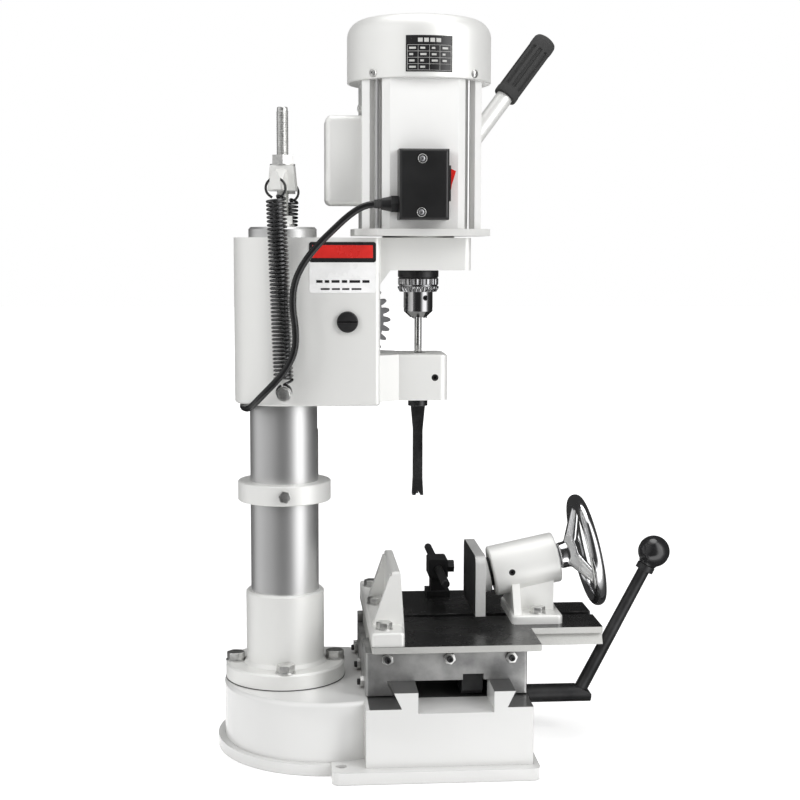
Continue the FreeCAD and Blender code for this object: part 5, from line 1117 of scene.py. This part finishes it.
class MORTISER_OT_plates(bpy.types.Operator):
    """Adds the plain rating plate on the fan cover and the plain label on the head"""
    bl_idname = "mortiser.plates"
    bl_label = "Plates"

    def execute(self, context):
        radius = 0.0830
        x0, x1, z0, z1 = 0.1357, 0.1873, 0.7805, 0.8198
        margin, line, ink = 0.0016, 0.00035, 0.00025
        bm = bmesh.new()
        wrapped_patch(bm, radius, x0, x1, z0, z1, 0.0004)
        carried(piece_from(bm, "rating_plate", "plate_black", sharp=30), "head", "black_plastic")
        bm = bmesh.new()

        def printed(from_x, to_x, z_low, z_high):
            added(bm, STILL, lambda part: wrapped_patch(part, radius + 0.0003, from_x, to_x, z_low, z_high,
                                                        ink))

        left, right, low, top = x0 + margin, x1 - margin, z0 + margin, z1 - 0.0104
        wide, rows = right - left, 4
        for k in range(rows + 1):
            z = low + (top - low) * k / rows
            printed(left, right, z - line / 2, z + line / 2)
        for share in (0.0, 0.24, 0.5, 0.74, 1.0):
            x = left + wide * share
            printed(x - line / 2, x + line / 2, low, top)
        cells = [(0.04, 0.19), (0.29, 0.43), (0.55, 0.69), (0.80, 0.93)]
        for row in range(rows):
            z = low + (top - low) * (row + 0.5) / rows
            for column, (a, b) in enumerate(cells):
                if row == 0 and column > 1:
                    continue
                b -= 0.03 * ((row + column) % 3)
                printed(left + wide * a, left + wide * b, z - 0.0011, z + 0.0011)
        for k in range(4):
            x = (left + right) / 2 + (k - 1.5) * 0.0068
            printed(x - 0.0026, x + 0.0026, z1 - 0.0074, z1 - 0.0030)
        carried(piece_from(bm, "rating_plate_print", "plate_print", sharp=30), "head", "black_plastic")
        for name, finish, across, up, thick, corner in (
                ("head_label", "plate_pale", (0.0290, 0.1044), (0.5367, 0.5940), 0.0005, 0.0030),
                ("head_label_band", "plate_black", (0.0290, 0.1044), (0.5712, 0.5940), 0.0007, 0.0028),
                ("head_label_stripe", "plate_red", (0.0325, 0.1009), (0.5760, 0.5905), 0.0009, 0.0008)):
            self.flat_plate(name, finish, across, up, thick, corner)
        bars, face = bmesh.new(), HEAD_LOW.y
        for z, high, x, bar_lengths in (
                (0.5497, 0.0030, 0.0370, (0.0070, 0.0050, 0.0090, 0.0060, 0.0120, 0.0080)),
                (0.5412, 0.0020, 0.0420, (0.0100, 0.0090, 0.0080, 0.0110))):
            for long in bar_lengths:
                box_shape(bars, (x, face - 0.0007, z - high / 2), (x + long, face + 0.0002, z + high / 2))
                x += long + 0.0026
        carried(piece_from(bars, "head_label_bars", "plate_black", sharp=30), "head", "black_plastic")
        return {"FINISHED"}

    def flat_plate(self, name, finish, across, up, thick, corner):
        """Thin plate with round corners on the front of the head."""
        bm = bmesh.new()
        box_shape(bm, (across[0], HEAD_LOW.y - thick, up[0]), (across[1], HEAD_LOW.y + 0.0002, up[1]))
        upright = [e for e in bm.edges if abs((e.verts[0].co - e.verts[1].co).normalized().y) > 0.9]
        rounded(bm, upright, corner, 5)
        carried(piece_from(bm, name, finish, sharp=30), "head", "black_plastic")


class MORTISER_OT_chuck(bpy.types.Operator):
    """Cuts the toothed and fluted chuck sleeve and the twisted auger"""
    bl_idname = "mortiser.chuck"
    bl_label = "Chuck sleeve and auger"

    def execute(self, context):
        low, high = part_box("chuck_sleeve")
        flutes = settings().sleeve_flutes
        sides = flutes * 4
        h = high.z - low.z
        outline = [(0.0171, 0.0), (0.0216, 0.0), (0.0216, 0.0002), (0.0240, 0.0040), (0.0240, 0.0060),
                   (0.0226, 0.0066), (0.0226, 0.0078), (0.0236, 0.0086), (0.0237, 0.0150), (0.0228, 0.0160),
                   (0.0228, 0.0168), (0.0238, 0.0176), (0.0238, h - 0.0012), (0.0226, h), (0.0171, h),
                   (0.0171, 0.0)]
        bm = bmesh.new()
        turned(bm, outline, steps=sides)
        for v in bm.verts:
            k = round(math.atan2(v.co.y, v.co.x) / FULL * sides) % 4
            out = Vector((v.co.x, v.co.y, 0))
            if out.length > 0.0205 and v.co.z < 0.0045 and k in (0, 1):
                v.co -= out.normalized() * (0.0036 if v.co.z < 0.003 else 0.0014)
            elif 0.0080 < v.co.z < 0.0155 and out.length > 0.0230 and k == 0:
                v.co -= out.normalized() * 0.0007
        bmesh.ops.translate(bm, vec=SPINDLE + UP * low.z, verts=bm.verts)
        carried(piece_from(bm, "fluted_sleeve", "sleeve_steel", sharp=24), "chuck_sleeve", "chuck_steel",
                "chuck_sleeve")
        self.auger()
        return {"FINISHED"}

    def auger(self):
        """Round shank, flat bar twisted about the axis and a small point."""
        low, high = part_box("auger_bit")
        radius = (high.x - low.x) / 2
        foot, bottom, top, pitch = 0.392, low.z + 0.0075, 0.393, 0.026

        def twist(part):
            ring = bmesh.ops.create_circle(part, segments=20, radius=radius)["verts"]
            bmesh.ops.scale(part, vec=(0.30, 1.0, 1.0), verts=ring)
            bmesh.ops.translate(part, vec=(0, 0, bottom), verts=ring)
            steps = int((top - bottom) / pitch * 20)
            wound(part, ring, (top - bottom) / steps, (top - bottom) / pitch, steps)

        bm, at = bmesh.new(), Matrix.Translation(SPINDLE)
        added(bm, at, lambda part: turned(
            part, [(0.0, foot), (radius - 0.0008, foot), (radius, foot + 0.0015), (radius, high.z),
                   (0.0, high.z)], steps=40))
        added(bm, at, twist)
        added(bm, at, lambda part: turned(
            part, [(0.0, low.z), (0.0010, low.z + 0.0004), (radius * 0.35, low.z + 0.0080),
                   (0.0, low.z + 0.0090)], steps=24))
        carried(piece_from(bm, "twisted_auger", "drill_steel", sharp=40), "spindle", "ground_steel",
                "auger_bit")


class MORTISER_OT_seams(bpy.types.Operator):
    """Adds the dark joint line between the base and the column's flange"""
    bl_idname = "mortiser.seams"
    bl_label = "Joint lines"

    def execute(self, context):
        bm = bmesh.new()
        inner, outer, low, high = 0.0690, 0.0706, BASE_TOP - 0.0004, BASE_TOP + 0.0010
        turned(bm, [(inner, low), (outer, low), (outer, high), (inner, high), (inner, low)], steps=128)
        carried(piece_from(bm, "flange_gasket", "black_rubber", sharp=30), "stand", "black_rubber")
        return {"FINISHED"}


# ---- stage ----
class MORTISER_OT_stage(bpy.types.Operator):
    """Sets the floor, the soft lights and the white room"""
    bl_idname = "mortiser.stage"
    bl_label = "Stage"

    def execute(self, context):
        s = settings()
        scene = context.scene
        scene.view_settings.view_transform = "Standard"
        self.floor()
        self.room(s.room_light)
        self.lamp("key", (-2.0, -1.7, 1.6), (0.1, 0, 0.35), s.key_light, 1.4, 2.0)
        self.lamp("side_strip", (2.1, -1.60, 1.5), (0.0, 0, 0.45), s.fill_light, 0.8, 1.9)
        self.lamp("top", (0.3, 0.3, 2.8), (0.1, 0, 0.3), s.top_light, 1.8, 1.8)
        self.flags()
        return {"FINISHED"}

    def floor(self):
        bm = bmesh.new()
        bmesh.ops.create_grid(bm, x_segments=1, y_segments=1, size=12)
        bmesh.ops.translate(bm, vec=(0, 0, -0.0004), verts=bm.verts)
        material = bpy.data.materials.new("floor_sweep")
        material.use_nodes = True
        tree = material.node_tree
        shader = tree.nodes["Principled BSDF"]
        grain = node(tree, "ShaderNodeTexNoise", in_Scale=40.0)
        place = tree.nodes.new("ShaderNodeTexCoord")
        tree.links.new(place.outputs["Object"], grain.inputs["Vector"])
        shade = mixed(tree, ranged(tree, grain.outputs[0], 0.3, 0.7), (0.86, 0.86, 0.86), (0.88, 0.88, 0.88))
        tree.links.new(shade, shader.inputs["Base Color"])
        shader.inputs["Roughness"].default_value = 0.8
        shader.inputs["Specular IOR Level"].default_value = 0.1
        glow = tree.nodes.new("ShaderNodeEmission")
        away = node(tree, "ShaderNodeVectorMath", operation="LENGTH")
        tree.links.new(place.outputs["Object"], away.inputs[0])
        far = ranged(tree, away.outputs["Value"], 0.9, 3.0, 0.50, 0.95)
        tree.links.new(mathed(tree, "MULTIPLY", seen_rays(tree), far), glow.inputs["Strength"])
        add = tree.nodes.new("ShaderNodeAddShader")
        tree.links.new(shader.outputs[0], add.inputs[0])
        tree.links.new(glow.outputs[0], add.inputs[1])
        tree.links.new(add.outputs[0], tree.nodes["Material Output"].inputs["Surface"])
        piece_from(bm, "floor", "floor_sweep")

    def room(self, strength):
        world = bpy.data.worlds.new("white_room")
        bpy.context.scene.world = world
        world.use_nodes = True
        tree = world.node_tree
        back = tree.nodes["Background"]
        back.inputs["Color"].default_value = (1, 1, 1, 1)
        tree.links.new(ranged(tree, seen_rays(tree), 0, 1, strength, 1.0), back.inputs["Strength"])

    def lamp(self, name, place, target, power, wide, high):
        light = bpy.data.lights.new(name, "AREA")
        light.shape = "RECTANGLE"
        light.energy, light.size, light.size_y = power, wide, high
        shown(name, light).matrix_world = aimed(Vector(place) - Vector(target), Vector(place))

    def flags(self):
        """Ring of pale and dark cloths, seen only in reflections, that gives the metal its bands."""
        bm = bmesh.new()
        turned(bm, [(0.30, 0.002), (1.2, 0.002), (1.2, 3.0)], steps=72)
        material = bpy.data.materials.new("cloth_ring")
        material.use_nodes = True
        tree = material.node_tree
        tree.nodes.remove(tree.nodes["Principled BSDF"])
        place = tree.nodes.new("ShaderNodeTexCoord")
        split = tree.nodes.new("ShaderNodeSeparateXYZ")
        tree.links.new(place.outputs["Object"], split.inputs[0])
        angle = mathed(tree, "ARCTAN2", split.outputs["Y"], split.outputs["X"])
        ramp = tree.nodes.new("ShaderNodeValToRGB")
        tree.links.new(ranged(tree, angle, -math.pi, math.pi), ramp.inputs[0])
        marks = ramp.color_ramp.elements
        for mark, (_, level) in zip(marks, (CLOTHS[0], CLOTHS[-1])):
            mark.color = (level, level, level, 1)
        for share, level in CLOTHS[1:-1]:
            marks.new(share).color = (level, level, level, 1)
        glow = tree.nodes.new("ShaderNodeEmission")
        tree.links.new(ramp.outputs[0], glow.inputs["Color"])
        glow.inputs["Strength"].default_value = 2.0
        tree.links.new(glow.outputs[0], tree.nodes["Material Output"].inputs["Surface"])
        ring = piece_from(bm, "cloth_ring", "cloth_ring")
        ring.visible_camera = ring.visible_diffuse = ring.visible_shadow = ring.visible_transmission = False


class MORTISER_PT_panel(bpy.types.Panel):
    """Lists the steps that dress the mortiser"""
    bl_idname = "MORTISER_PT_panel"
    bl_label = "Benchtop Mortiser"
    bl_space_type = "VIEW_3D"
    bl_region_type = "UI"
    bl_category = "Mortiser"

    def draw(self, context):
        for name in MortiserSettings.__annotations__:
            self.layout.prop(context.scene.mortiser, name)
        for operator in STEPS:
            self.layout.operator(operator.bl_idname)


STEPS = (MORTISER_OT_camera, MORTISER_OT_finishes, MORTISER_OT_lead, MORTISER_OT_springs,
         MORTISER_OT_lever, MORTISER_OT_ball, MORTISER_OT_cover, MORTISER_OT_wheel, MORTISER_OT_rod,
         MORTISER_OT_bolts, MORTISER_OT_screws, MORTISER_OT_plates, MORTISER_OT_chuck, MORTISER_OT_seams,
         MORTISER_OT_stage)


def register():
    for each in (MortiserSettings, *STEPS, MORTISER_PT_panel):
        bpy.utils.register_class(each)
    bpy.types.Scene.mortiser = PointerProperty(type=MortiserSettings)


def unregister():
    del bpy.types.Scene.mortiser
    for each in reversed((MortiserSettings, *STEPS, MORTISER_PT_panel)):
        bpy.utils.unregister_class(each)


def main():
    register()
    for operator in STEPS:
        group, name = operator.bl_idname.split(".")
        getattr(getattr(bpy.ops, group), name)()


if __name__ == "__main__":
    main()
